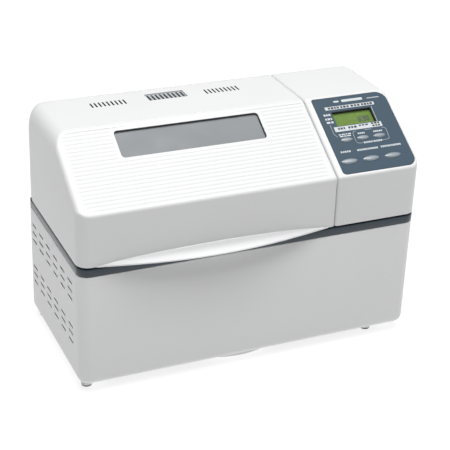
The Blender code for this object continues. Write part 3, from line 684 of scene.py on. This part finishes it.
def lid_lip(paint):
    """The crescent grip: a ledge that leans out from the lid's front and droops over the band."""
    loops = []
    for i in range(GRIP_SECTIONS):
        u = -GRIP_END + 2 * GRIP_END * i / (GRIP_SECTIONS - 1)
        w = 1 - u * u
        x = GRIP_X + u * GRIP_HALF
        tip_y = FRONT - 0.3 - GRIP_OUT * w
        tip_z = LID_BOTTOM - GRIP_DROP * w ** 1.5
        top_z = LID_BOTTOM + 0.6 + GRIP_RISE * w ** 0.8
        back = FRONT + 0.6
        top = []
        for k in range(9):
            t = k / 8
            sag = 0.9 * w * math.sin(math.pi * t)
            top.append((FRONT + (tip_y - FRONT + 0.7 * w) * t + sag * 0.4,
                        top_z + (tip_z + 1.9 - top_z) * t - sag))
        nose = [(tip_y + 0.15 * w, tip_z + 1.4), (tip_y, tip_z + 0.8),
                (tip_y + 0.25 * w, tip_z + 0.2), (tip_y + 0.9 * w, tip_z)]
        outline = [(back, top_z)] + top + nose + [(back, LID_BOTTOM + 0.2)]
        loops.append([(x, y, z) for y, z in outline])
    lip = skin("lid_lip", loops)
    # The grip wears the lighter copy of the white plastic: painted light on its top.
    dress(lip, paint["lip"], "lid", "white_shell", "lid_grip", sharp=50.0)


def control_cover(paint):
    outer = shell_sections(RIGHT, -1, CONTROL_LEFT, CONTROL_END_R, 0.0, CONTROL_SEAM_R)
    cover = shell("control_cover", outer, LID_BOTTOM, CONTROL_RADII)
    inner = shell_sections(RIGHT, -1, CONTROL_LEFT + WALL, CONTROL_END_R, WALL, INNER_SEAM_R)
    boolean(cover, shell("tool", inner, LID_BOTTOM - CLEAR, CONTROL_INNER_RADII))
    boolean(cover, slope_tool(grown(PANEL_X, 0.3), grown(PANEL_S, 0.3), PANEL_RADII, 0.9, 8))
    boolean(cover, slope_tool(grown(LCD_X, 0.6), grown(LCD_S, 0.6), 0.8, 8))
    boolean(cover, button_holes(0.6))
    dress(cover, paint["white"], "body", "white_shell", "control_housing")


def oval(half, height, grow=0.0, sides=40):
    """A button's outline: an ellipse with slightly pointed ends."""
    points = []
    for i in range(sides):
        angle = 2 * math.pi * i / sides
        rise = abs(math.sin(angle)) ** 1.12 * math.copysign(1, math.sin(angle))
        points.append(((half[0] + grow) * math.cos(angle), (half[1] + grow) * rise, height))
    return points


def button_holes(grow):
    bm = bmesh.new()
    for _, x, s, half in BUTTONS:
        loops = [oval(half, height, grow) for height in (-8, CLEAR)]
        add_loops(bm, [[(x + u, v - s, h) for u, v, h in loop] for loop in loops])
    return on_slope(to_object("tool", bm))


# ---------------------------------------------------------------- control panel

DIGIT_HEIGHT = 8.0
DIGIT_WIDTH = 4.6
DIGIT_STROKE = 1.55
DIGIT_S = 36.1
DIGITS = (("3", 164.8), ("3", 171.0), ("0", 176.6))
COLON_X = 167.9
COLON_S = (34.2, 38.0)
DIGIT_LEVELS = (-3.79, -3.7)
SEGMENTS = {"3": "abgcd", "0": "abcdef"}

WORD_GAP = 0.55
PRINT_LEVELS = {"low": 0.16, "high": 0.24}
INK_LEVELS = {"low": 0.2, "high": 0.3}

# Lines of lettering, as plain bars: x range, s, height, and the widths of the bars
WORDS_BESIDE_DISPLAY = (
    ((118.8, 127.8), 27.3, 2.8, (1.6, 1.2, 1.5)),
    ((118.8, 127.8), 33.3, 2.8, (1.2, 1.9, 1.0)),
    ((118.8, 127.8), 38.4, 2.8, (2.0, 1.3)),
)
WORDS_OVER_BUTTONS = (
    ((127.2, 143.5), 57.6, 1.7, (1.6, 2.4, 1.4, 2.0)),
    ((127.7, 142.5), 60.3, 1.7, (2.4, 1.5, 2.6)),
    ((152.3, 161.6), 59.2, 2.2, (1.5, 1.2, 1.7, 1.2)),
    ((173.5, 185.5), 59.4, 2.2, (1.3, 1.6, 1.2, 1.5, 1.3)),
    ((154.9, 180.0), 73.2, 2.4, (1.6, 1.3, 1.7, 1.2, 0.4, 1.5, 1.3, 1.7, 1.4)),
    ((119.8, 132.9), 82.4, 2.5, (1.4, 1.0, 1.7, 1.4, 1.5)),
    ((141.9, 169.7), 82.7, 2.6, (1.4, 1.5, 1.2, 1.6, 1.3, 0.5, 1.5, 1.3, 1.6, 1.3, 1.4)),
    ((174.1, 201.2), 82.4, 2.6, (1.4, 1.3, 1.5, 1.2, 1.6, 0.5, 1.4, 1.6, 1.3, 1.5, 1.4)),
)
WORDS_ON_PLATES = (
    ((128.3, 143.3), 18.1, 2.9, (1.5, 1.8, 1.3, 1.6)),
    ((145.3, 156.7), 18.1, 2.9, (1.2, 1.6, 1.3)),
    ((159.3, 171.8), 18.1, 2.9, (1.5, 1.2, 1.4)),
    ((174.0, 189.0), 18.1, 2.9, (1.4, 1.6, 1.2, 1.7)),
    ((129.7, 139.2), 49.0, 3.0, (1.3, 1.6, 1.2)),
    ((143.5, 155.0), 49.0, 3.0, (1.4, 1.2, 1.7)),
    ((158.2, 170.9), 48.0, 2.2, (1.3, 1.2, 1.6)),
    ((175.6, 186.7), 47.5, 2.4, (1.3, 1.6, 1.2)),
    ((175.9, 186.4), 51.0, 2.4, (1.5, 1.2, 1.4)),
)


def add_bar(bm, x, s, width, height, low=0.16, high=0.24, radius=0.3):
    """A flat rounded bar lying on the slope, given by its centre."""
    radius = min(radius, width / 2 - 0.02, height / 2 - 0.02)
    loops = [rounded_rect(x, -s, width / 2, height / 2, radius, h, 3) for h in (low, high)]
    add_loops(bm, loops)


def add_words(bm, lines, levels):
    """Short bars that stand where lines of lettering would be."""
    for x_range, s, height, widths in lines:
        total = sum(widths) + WORD_GAP * (len(widths) - 1)
        scale = (x_range[1] - x_range[0]) / total
        x = x_range[0]
        for width in widths:
            middle = x + width * scale / 2
            add_bar(bm, middle, s, width * scale, height, radius=0.25, **levels)
            x += (width + WORD_GAP) * scale


def add_outline(bm, path, width=0.4, low=0.16, high=0.22):
    """A thin printed line through (x, s) points."""
    for (x0, s0), (x1, s1) in zip(path, path[1:]):
        along = Vector((x1 - x0, s0 - s1)).normalized()
        side = Vector((-along.y, along.x)) * width / 2
        grow = along * width * 0.3
        a, b = Vector((x0, -s0)) - grow, Vector((x1, -s1)) + grow
        ring = [a + side, a - side, b - side, b + side]
        add_loops(bm, [[(p.x, p.y, h) for p in ring] for h in (low, high)])


def arc_path(x, s, start, end, radius=3.4, steps=5):
    found = []
    for i in range(steps + 1):
        angle = math.radians(start + (end - start) * i / steps)
        found.append((x + radius * math.cos(angle), s - radius * math.sin(angle)))
    return found


def control_overlay(paint):
    loops = []
    for inset, h in ((0, -0.8), (0, -0.05), (0.25, 0.2)):
        out = -0.05 - inset
        loops.append(slope_rect(grown(PANEL_X, out), grown(PANEL_S, out), PANEL_RADII, h, 8))
    overlay = on_slope(skin("control_overlay", loops))
    boolean(overlay, slope_tool(LCD_X, LCD_S, 0.6, 8))
    boolean(overlay, button_holes(0.3))
    dress(overlay, paint["panel"], "body", "slate_trim", "control_panel")


def panel_print(paint):
    """The pale print on the panel, and the dark words on its two pale plates."""
    pale = bmesh.new()
    add_bar(pale, 158.0, 18.1, 67.4, 4.6)
    add_bar(pale, 157.1, 49.6, 64.4, 7.2)
    add_outline(pale, [(186.0, 22.6), (185.2, 45.5)], 0.6)
    add_words(pale, WORDS_BESIDE_DISPLAY, PRINT_LEVELS)
    add_outline(pale, [(121.8, 41.7), (121.3, 55.2), (124.7, 60.4)])
    add_words(pale, WORDS_OVER_BUTTONS, PRINT_LEVELS)
    add_bar(pale, 142.8, 9.2, 7.5, 2.4, radius=1.1)
    add_bar(pale, 164.6, 9.2, 29.0, 3.6, radius=1.4)
    add_bar(pale, 193.6, 9.8, 17.0, 1.0, radius=0.4)
    foot, head = arc_path(149.1, 69.6, 270, 180), arc_path(149.5, 58.7, 180, 90)
    add_outline(pale, [(153.5, 73.2), (149.0, 73.2)] + foot + [(146.1, 58.7)] + head
                + [(151.4, 55.2)])
    add_outline(pale, [(163.4, 55.2), (172.6, 55.2)])
    head, foot = arc_path(188.1, 58.7, 90, 0), arc_path(187.6, 69.6, 0, -90)
    add_outline(pale, [(186.8, 55.2), (188.2, 55.2)] + head + foot + [(181.4, 73.2)])
    marks = on_slope(to_object("panel_marks", pale))
    dress(marks, paint["print"], "body", "white_shell", sharp=40.0)

    ink = bmesh.new()
    add_words(ink, WORDS_ON_PLATES, INK_LEVELS)
    captions = on_slope(to_object("panel_captions", ink))
    dress(captions, paint["ink"], "body", "black_plastic", sharp=40.0)


def display(paint):
    """A dark shroud round a green face with clock digits, under a clear lens."""
    rim = [slope_rect(grown(LCD_X, -inset), grown(LCD_S, -inset), 0.5, h)
           for inset, h in ((0.05, -3.7), (0.05, -0.3), (0.55, -0.3), (0.55, -3.7))]
    shroud = on_slope(skin("display_shroud", rim, True))
    dress(shroud, paint["black"], "body", "black_plastic")
    face = [slope_rect(grown(LCD_X, 1.8), grown(LCD_S, 1.8), 1, h) for h in (-7.3, -3.8)]
    dress(on_slope(skin("display_face", face)), paint["lcd"], "body", "lcd_face", "lcd_module")
    lens = [slope_rect(grown(LCD_X, -0.7), grown(LCD_S, -0.7), 0.6, h) for h in (-3.3, -2.3)]
    dress(on_slope(skin("display_lens", lens)), paint["lens"], "body", "lcd_lens", "lcd_glass")
    bm = bmesh.new()
    for digit, x in DIGITS:
        add_digit(bm, digit, x)
    for s in COLON_S:
        add_bar(bm, COLON_X, s, 0.9, 1.2, *DIGIT_LEVELS, 0.3)
    digits = on_slope(to_object("display_digits", bm))
    dress(digits, paint["ink"], "body", "black_plastic")


def add_digit(bm, digit, x):
    """A seven-segment digit. Each segment has its place, and whether it lies level."""
    thick = DIGIT_STROKE
    w, h = DIGIT_WIDTH / 2 - thick / 2, DIGIT_HEIGHT / 2 - thick / 2
    level_size = (DIGIT_WIDTH - thick * 0.7, thick)
    upright_size = (thick, DIGIT_HEIGHT / 2 - thick * 0.5)
    places = {"a": (0, h, True), "g": (0, 0, True), "d": (0, -h, True),
              "b": (w, h / 2, False), "c": (w, -h / 2, False),
              "e": (-w, -h / 2, False), "f": (-w, h / 2, False)}
    for name in SEGMENTS[digit]:
        dx, dv, level = places[name]
        size = level_size if level else upright_size
        add_bar(bm, x + dx, DIGIT_S - dv, *size, *DIGIT_LEVELS, 0.2)


def buttons(paint):
    for name, x, s, half in BUTTONS:
        loops = [[(x + u, v - s, z) for u, v, z in oval(half, h, grow)]
                 for grow, h in BUTTON_PROFILE]
        button = on_slope(skin(name + "_cap", loops))
        dress(button, paint["button"], name + "_body", "silver_button", name, sharp=60.0)


# ---------------------------------------------------------------- lower body

def base_shell(paint):
    loops = []
    for i in range(BASE_LOW_STEPS + 1):
        angle = math.pi / 2 * i / BASE_LOW_STEPS
        loops.append(body_outline(BASE_LOW_R * (1 - math.sin(angle)),
                                  BASE_BOTTOM + BASE_LOW_R * (1 - math.cos(angle))))
    floor_top = BASE_BOTTOM + 3.3
    loops += [body_outline(inset, z) for inset, z in (
        (0, BASE_TOP - 0.8), (0.25, BASE_TOP - 0.25), (0.8, BASE_TOP), (WALL, BASE_TOP),
        (WALL, 18.2), (4.5, floor_top), (30, floor_top), (30, BASE_BOTTOM))]
    base = skin("base_shell", loops, True)

    bm = bmesh.new()
    reach = SIDE_VENT_PITCH_Y * (SIDE_VENT_COLUMNS - 1)
    add_box(bm, (LEFT + VENT_WALL, SIDE_VENT_FIRST_Y - reach - 10, SIDE_VENT_ROWS[-1] - 5),
            (LEFT + WALL + 1, SIDE_VENT_FIRST_Y + 10, SIDE_VENT_ROWS[0] + 5))
    boolean(base, to_object("tool", bm))
    bm = bmesh.new()
    half = (SIDE_VENT_LENGTH / 2, SIDE_VENT_HEIGHT / 2)
    for column in range(SIDE_VENT_COLUMNS):
        y = SIDE_VENT_FIRST_Y - column * SIDE_VENT_PITCH_Y
        for z in SIDE_VENT_ROWS:
            ring = rounded_rect(y, z, *half, half[1] - 0.1, 0, 4)
            add_loops(bm, [[(x, u, v) for u, v, _ in ring] for x in (LEFT - 5, LEFT + 6)])
    boolean(base, to_object("tool", bm))

    low, high = span("cord_gland")
    centre = (low + high) / 2
    hole = [[(x, y, z) for x, z, y in circle(centre.x, centre.z, GLAND_HOLE_R, y)]
            for y in (REAR - 8, REAR + CLEAR)]
    boolean(base, skin("tool", hole))
    dress(base, paint["white"], "body", "white_shell", "base_housing")


def base_underside(paint):
    low, high = span("bottom_plate")
    half = ((high.x - low.x) / 2, (high.y - low.y) / 2)
    plate = skin("base_plate", [rounded_rect(0, MID_Y, *half, 3, z)
                                for z in (BASE_BOTTOM, BASE_BOTTOM + 2.5)])
    under, inner = BASE_BOTTOM - 0.3, half[1] - 1
    dish = [(DISH_R - 14, 2.0), (DISH_R - 6, 2.1), (DISH_R - 1.6, 2.6), (DISH_R - 0.4, 3.4),
            (DISH_R, 4.6), (DISH_R, under), (inner, under), (inner, 9.6)]
    boolean(plate, skin("tool", [circle(DISH_X, MID_Y, r, z, 96) for r, z in dish]), "UNION")
    hollow = ((inner - 8, 5.2), (inner - 4, 7.5), (inner - 4, 14))
    boolean(plate, skin("tool", [circle(DISH_X, MID_Y, r, z, 96) for r, z in hollow]))
    dress(plate, paint["white"], "body", "white_shell", "bottom_plate")

    for name in ("foot_front_left", "foot_front_right", "foot_rear_left", "foot_rear_right"):
        low, high = span(name)
        centre = ((low.x + high.x) / 2, (low.y + high.y) / 2)
        boss = lathe(name + "_boss", centre,
                     [(5.9, 1.9), (6.5, 2.0), (6.5, high.z - 0.8), (6.2, high.z)])
        dress(boss, paint["white"], "body", "white_shell")
        pad = lathe(name + "_pad", centre, [(5.2, 0.0), (6.0, 0.35), (6.3, 1.1), (6.1, 1.85)])
        dress(pad, paint["rubber"], "body", "black_rubber", name)


def band(paint):
    """The slate band and the deck round the oven's mouth, in one ring."""
    low, under = BAND_LOW.z, DECK_TOP - WALL
    step = DECK_TOP - BAND_STEP
    outside = ((0.7, low), (0.2, low + 0.2), (0.0, low + 0.6), (0, step - 0.8),
               (0.25, step - 0.2), (0.9, step), (BAND_GROOVE, step), (BAND_GROOVE, DECK_TOP))
    mouth = ((2.5, DECK_TOP), (1.8, DECK_TOP - 0.3), (1.5, DECK_TOP - 1), (1.5, under),
             (10, under))
    inside = ((BAND_GROOVE + 3, step - 1.5), (WALL, step - 1.5), (WALL, low))
    loops = [body_outline(inset, z) for inset, z in outside]
    loops += [oven_outline(grow, z, OVEN_R) for grow, z in mouth]
    loops += [body_outline(inset, z) for inset, z in inside]
    dress(skin("deck_band", loops, True), paint["slate"], "body", "slate_trim", "trim_band")


# ---------------------------------------------------------------- oven and drive

def shaft_holes(radius, z_range):
    bm = bmesh.new()
    for x in SHAFT_X:
        add_loops(bm, [circle(x, MID_Y, radius, z) for z in z_range])
    return to_object("tool", bm)


def oven(paint):
    """The steel lining, drawn from the floor up the outside, over the rim and down the inside."""
    top = DECK_TOP - WALL - 0.3
    floor = OVEN_FLOOR
    sheet = 1.0
    profile = ((-8, floor), (-4, floor + 0.7), (-1, floor + 3), (0.6, floor + 6),
               (sheet, floor + 9), (sheet, top - 2), (sheet + 1, top - sheet), (8, top - sheet),
               (8, top), (0.8, top), (0, top - 1), (0, floor + 9.4), (-0.5, floor + 6.6),
               (-2, floor + 4), (-5, floor + 2), (-9, floor + 1.2))
    chamber = skin("oven_lining", [oven_outline(grow, z) for grow, z in profile], True)
    bottom = skin("tool", [oven_outline(-8.5, floor + h) for h in (0.1, 1.1)])
    boolean(chamber, bottom, "UNION")
    boolean(chamber, shaft_holes(5.4, (floor - 4, floor + 5)))
    port = [[(x, y, z) for y, z, x in circle(MID_Y, 100, 3.4, x, 24)]
            for x in (OVEN_X + 125, OVEN_X + 138)]
    boolean(chamber, skin("tool", port))
    dress(chamber, paint["steel"], "body", "sheet_steel", "oven_chamber")


def pan(paint):
    """The baking pan, drawn up the outside, over its rolled rim and down the inside."""
    low, high = PAN_LOW_HALF, PAN_TOP_HALF
    profile = ((low, -4, PAN_BOTTOM), (low, -1.2, PAN_BOTTOM + 1.2), (low, 0, PAN_BOTTOM + 4),
               (high, 0, PAN_TOP - 1.6), (high, 3.4, PAN_TOP - 1.5), (high, 4, PAN_TOP - 0.9),
               (high, 3.5, PAN_TOP - 0.1), (high, 2.4, PAN_TOP), (high, -0.6, PAN_TOP - 0.2),
               (high, -1.5, PAN_TOP - 1.4), (low, -1.5, PAN_BOTTOM + 5),
               (low, -2.7, PAN_BOTTOM + 2.4), (low, -5.1, PAN_BOTTOM + 1.5))
    bread_pan = skin("bread_pan", [pan_outline(half, grow, z) for half, grow, z in profile])
    boolean(bread_pan, shaft_holes(6.6, (PAN_BOTTOM - 4, PAN_BOTTOM + 5)))
    dress(bread_pan, paint["coating"], "body", "dark_coating", "baking_pan")


def blades(paint):
    """Each blade is a turned hub with one tapering fin, bored for its shaft."""
    low = PAN_BOTTOM + 4.9
    for side, x in zip(("left", "right"), SHAFT_X):
        hub = [(7.6, low), (8.5, low + 0.8), (8.5, low + 10), (7.9, low + 13.5),
               (6.8, low + 16.4), (4.5, low + 18)]
        blade = lathe(f"paddle_{side}", (x, MID_Y), hub)
        fin = []
        for t in range(7):
            z = low + 0.4 + 19.6 * t / 6
            reach = 38 - 16 * (t / 6) ** 1.6
            thick = 2.4 - 0.8 * t / 6
            outline = [(0, -thick), (reach - 2, -thick * 0.8), (reach - 0.5, -thick * 0.45),
                       (reach, 0), (reach - 0.5, thick * 0.45), (reach - 2, thick * 0.8),
                       (0, thick)]
            fin.append([(x + dx, MID_Y + dy, z) for dx, dy in outline])
        boolean(blade, skin("tool", fin), "UNION")
        boolean(blade, skin("tool", [circle(x, MID_Y, 4.3, z) for z in (low - 3, low + 13)]))
        dress(blade, paint["coating"], f"drive_{side}", "dark_coating",
              f"kneading_blade_{side}", sharp=40.0)


def bail(paint):
    """The folding wire handle of the pan, lying at the front."""
    low, high = span("pan_handle")
    radius = (high.z - low.z) / 2
    z = (low.z + high.z) / 2
    half, arm, inner = (high.x - low.x) / 2 - 2.0, MID_Y - low.y - 2.0, PAN_TOP_HALF[0] + 0.9
    pivot_r, corner_r = 4, 9
    path = [(inner, 0.0), (half - pivot_r, 0.0)]
    for i in range(1, 7):
        angle = math.pi / 2 * i / 6
        path.append((half - pivot_r + pivot_r * math.sin(angle),
                     -pivot_r + pivot_r * math.cos(angle)))
    for i in range(9):
        angle = math.pi / 2 * i / 8
        path.append((half - corner_r + corner_r * math.cos(angle),
                     -arm + corner_r - corner_r * math.sin(angle)))
    path = ([(OVEN_X - x, MID_Y + y) for x, y in path]
            + [(OVEN_X + x, MID_Y + y) for x, y in reversed(path)])
    loops = []
    for i, point in enumerate(path):
        before = Vector(path[max(i - 1, 0)])
        after = Vector(path[min(i + 1, len(path) - 1)])
        along = (after - before).normalized()
        side = Vector((along.y, -along.x))
        loop = []
        for k in range(16):
            angle = 2 * math.pi * k / 16
            out = side * math.cos(angle) * radius
            loop.append((point[0] + out.x, point[1] + out.y, z + math.sin(angle) * radius))
        loops.append(loop)
    wire = skin("bail_wire", loops)
    dress(wire, paint["bright"], "bail", "bright_steel", "pan_handle", sharp=50.0)


def lining_sections(inset, edge=8.0, steps=6):
    """Sections of a shell moved in from the lid's, with both ends rounded alike."""
    ends = (LEFT + inset, LID_RIGHT - inset)
    distances = [edge * (1 - math.cos(math.pi / 2 * i / steps)) for i in range(steps + 1)]
    found = [(ends[0] + distance, end_inset(edge, distance)) for distance in distances]
    found += [(ends[1] - distance, end_inset(edge, distance)) for distance in reversed(distances)]
    return [(x, [inset + more] * 4) for x, more in found]


def lid_lining(paint):
    depth, sheet = 11.0, 1.2
    bottom = DECK_TOP + 3.4
    liner = shell("lid_lining", lining_sections(depth), bottom, LINING_RADII)
    boolean(liner, shell("tool", lining_sections(depth + sheet), bottom - CLEAR, LINING_RADII))
    hole = [slope_rect(grown(WINDOW_X, -4), grown(WINDOW_S, -4), 4, h) for h in (-14, -9)]
    boolean(liner, on_slope(skin("tool", hole)))
    dress(liner, paint["steel"], "lid", "sheet_steel", "lid_liner")

    low = DECK_TOP + 0.3
    profile = ((6, low + 1.2), (6.6, low + 0.5), (8, low), (10, low), (11.4, low + 0.5),
               (12, low + 1.2), (12, low + 2.7), (6, low + 2.7))
    seal = skin("lid_seal", [oven_outline(grow, z) for grow, z in profile], True)
    dress(seal, paint["rubber"], "lid", "black_rubber", "lid_gasket")


# The CAD nodes that are shown as they are, by the look they take
CARRIED = {
    "steel": ("chassis_plate", "pan_base", "pan_ear_left", "pan_ear_right", "hinge_leaf_left",
              "hinge_leaf_right", "motor", "temperature_sensor"),
    "bright": ("blade_shaft_left", "blade_shaft_right", "drive_coupling_left",
               "drive_coupling_right", "bearing_left", "bearing_right", "motor_shaft",
               "hinge_pin_left", "hinge_pin_right"),
    "rubber": ("drive_belt", "shaft_seal_left", "shaft_seal_right"),
    "black": ("driven_pulley_left", "driven_pulley_right", "motor_pulley", "cord_gland"),
    "slate": ("hinge_knuckle_left", "hinge_knuckle_right"),
    "board": ("display_board", "power_board"),
    "winding": ("transformer",),
    "heater": ("heater",),
    "window": ("inner_pane",),
    "white": ("thermal_fuse",),
}


def carried_nodes(paint):
    for look, names in CARRIED.items():
        for name in names:
            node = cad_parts[name]
            node.data.materials.clear()
            node.data.materials.append(paint[look])


# ---------------------------------------------------------------- stage

def ground():
    """A pale sheet that glows a little, so that it stays white in the object's shadow."""
    bm = bmesh.new()
    add_box(bm, (-FLOOR_REACH, -FLOOR_REACH, -20), (FLOOR_REACH, FLOOR_REACH, -0.2))
    floor = to_object("floor", bm)
    material, tree, shader = node_material("floor_paper")
    shader.inputs["Roughness"].default_value = 0.9
    shader.inputs["Specular IOR Level"].default_value = 0.1
    vary_colour(tree, shader, noise(tree, 3.0), (0.175,) * 3, (0.185,) * 3)
    shader.inputs["Emission Color"].default_value = PURE_WHITE
    shader.inputs["Emission Strength"].default_value = FLOOR_GLOW
    floor.data.materials.append(material)


def studio():
    """A white surround that lights the object only weakly, and one large soft light above."""
    world = bpy.data.worlds.new("studio")
    world.use_nodes = True
    tree = world.node_tree
    fill = tree.nodes["Background"]
    fill.inputs["Color"].default_value = PURE_WHITE
    fill.inputs["Strength"].default_value = FILL_LIGHT
    seen = tree.nodes.new("ShaderNodeBackground")
    seen.inputs["Color"].default_value = PURE_WHITE
    path = tree.nodes.new("ShaderNodeLightPath")
    mix = tree.nodes.new("ShaderNodeMixShader")
    tree.links.new(path.outputs["Is Camera Ray"], mix.inputs[0])
    tree.links.new(fill.outputs[0], mix.inputs[1])
    tree.links.new(seen.outputs[0], mix.inputs[2])
    tree.links.new(mix.outputs[0], tree.nodes["World Output"].inputs["Surface"])
    bpy.context.scene.world = world
    bpy.context.scene.view_settings.view_transform = "Standard"
    softbox("overhead", LIGHT_FROM, LIGHT_SPREAD, LIGHT_STRENGTH)


def softbox(name, towards, spread, strength):
    """A very large, distant and soft light, named by the direction it shines from."""
    light = bpy.data.lights.new(name, "SUN")
    light.angle = math.radians(spread)
    light.energy = strength
    obj = bpy.data.objects.new(name, light)
    bpy.context.scene.collection.objects.link(obj)
    obj.location = Vector(towards) * 2
    obj.rotation_euler = Vector(towards).to_track_quat("Z", "Y").to_euler()


def camera():
    azimuth, elevation, roll = (math.radians(a) for a in CAMERA_ANGLES)
    back = Vector((math.sin(azimuth) * math.cos(elevation),
                   -math.cos(azimuth) * math.cos(elevation), math.sin(elevation)))
    level = Vector((math.cos(azimuth), math.sin(azimuth), 0.0))
    right = level * math.cos(roll) + back.cross(level) * math.sin(roll)
    up = back.cross(right)
    data = bpy.data.cameras.new("camera")
    data.sensor_width = 36.0
    data.lens = CAMERA_LENS
    data.clip_start, data.clip_end = 0.05, 30.0
    obj = bpy.data.objects.new("camera", data)
    bpy.context.scene.collection.objects.link(obj)
    turn = Matrix((right, up, back)).transposed().to_4x4()
    obj.matrix_world = Matrix.Translation(Vector(CAMERA_PLACE) * MM) @ turn
    bpy.context.scene.camera = obj


def main():
    camera()
    ground()
    studio()
    paint = make_materials()
    for build in (lid_cover, lid_fittings, control_cover, control_overlay, panel_print, display,
                  buttons, base_shell, base_underside, band, oven, pan, blades, bail, lid_lining,
                  carried_nodes):
        build(paint)


main()
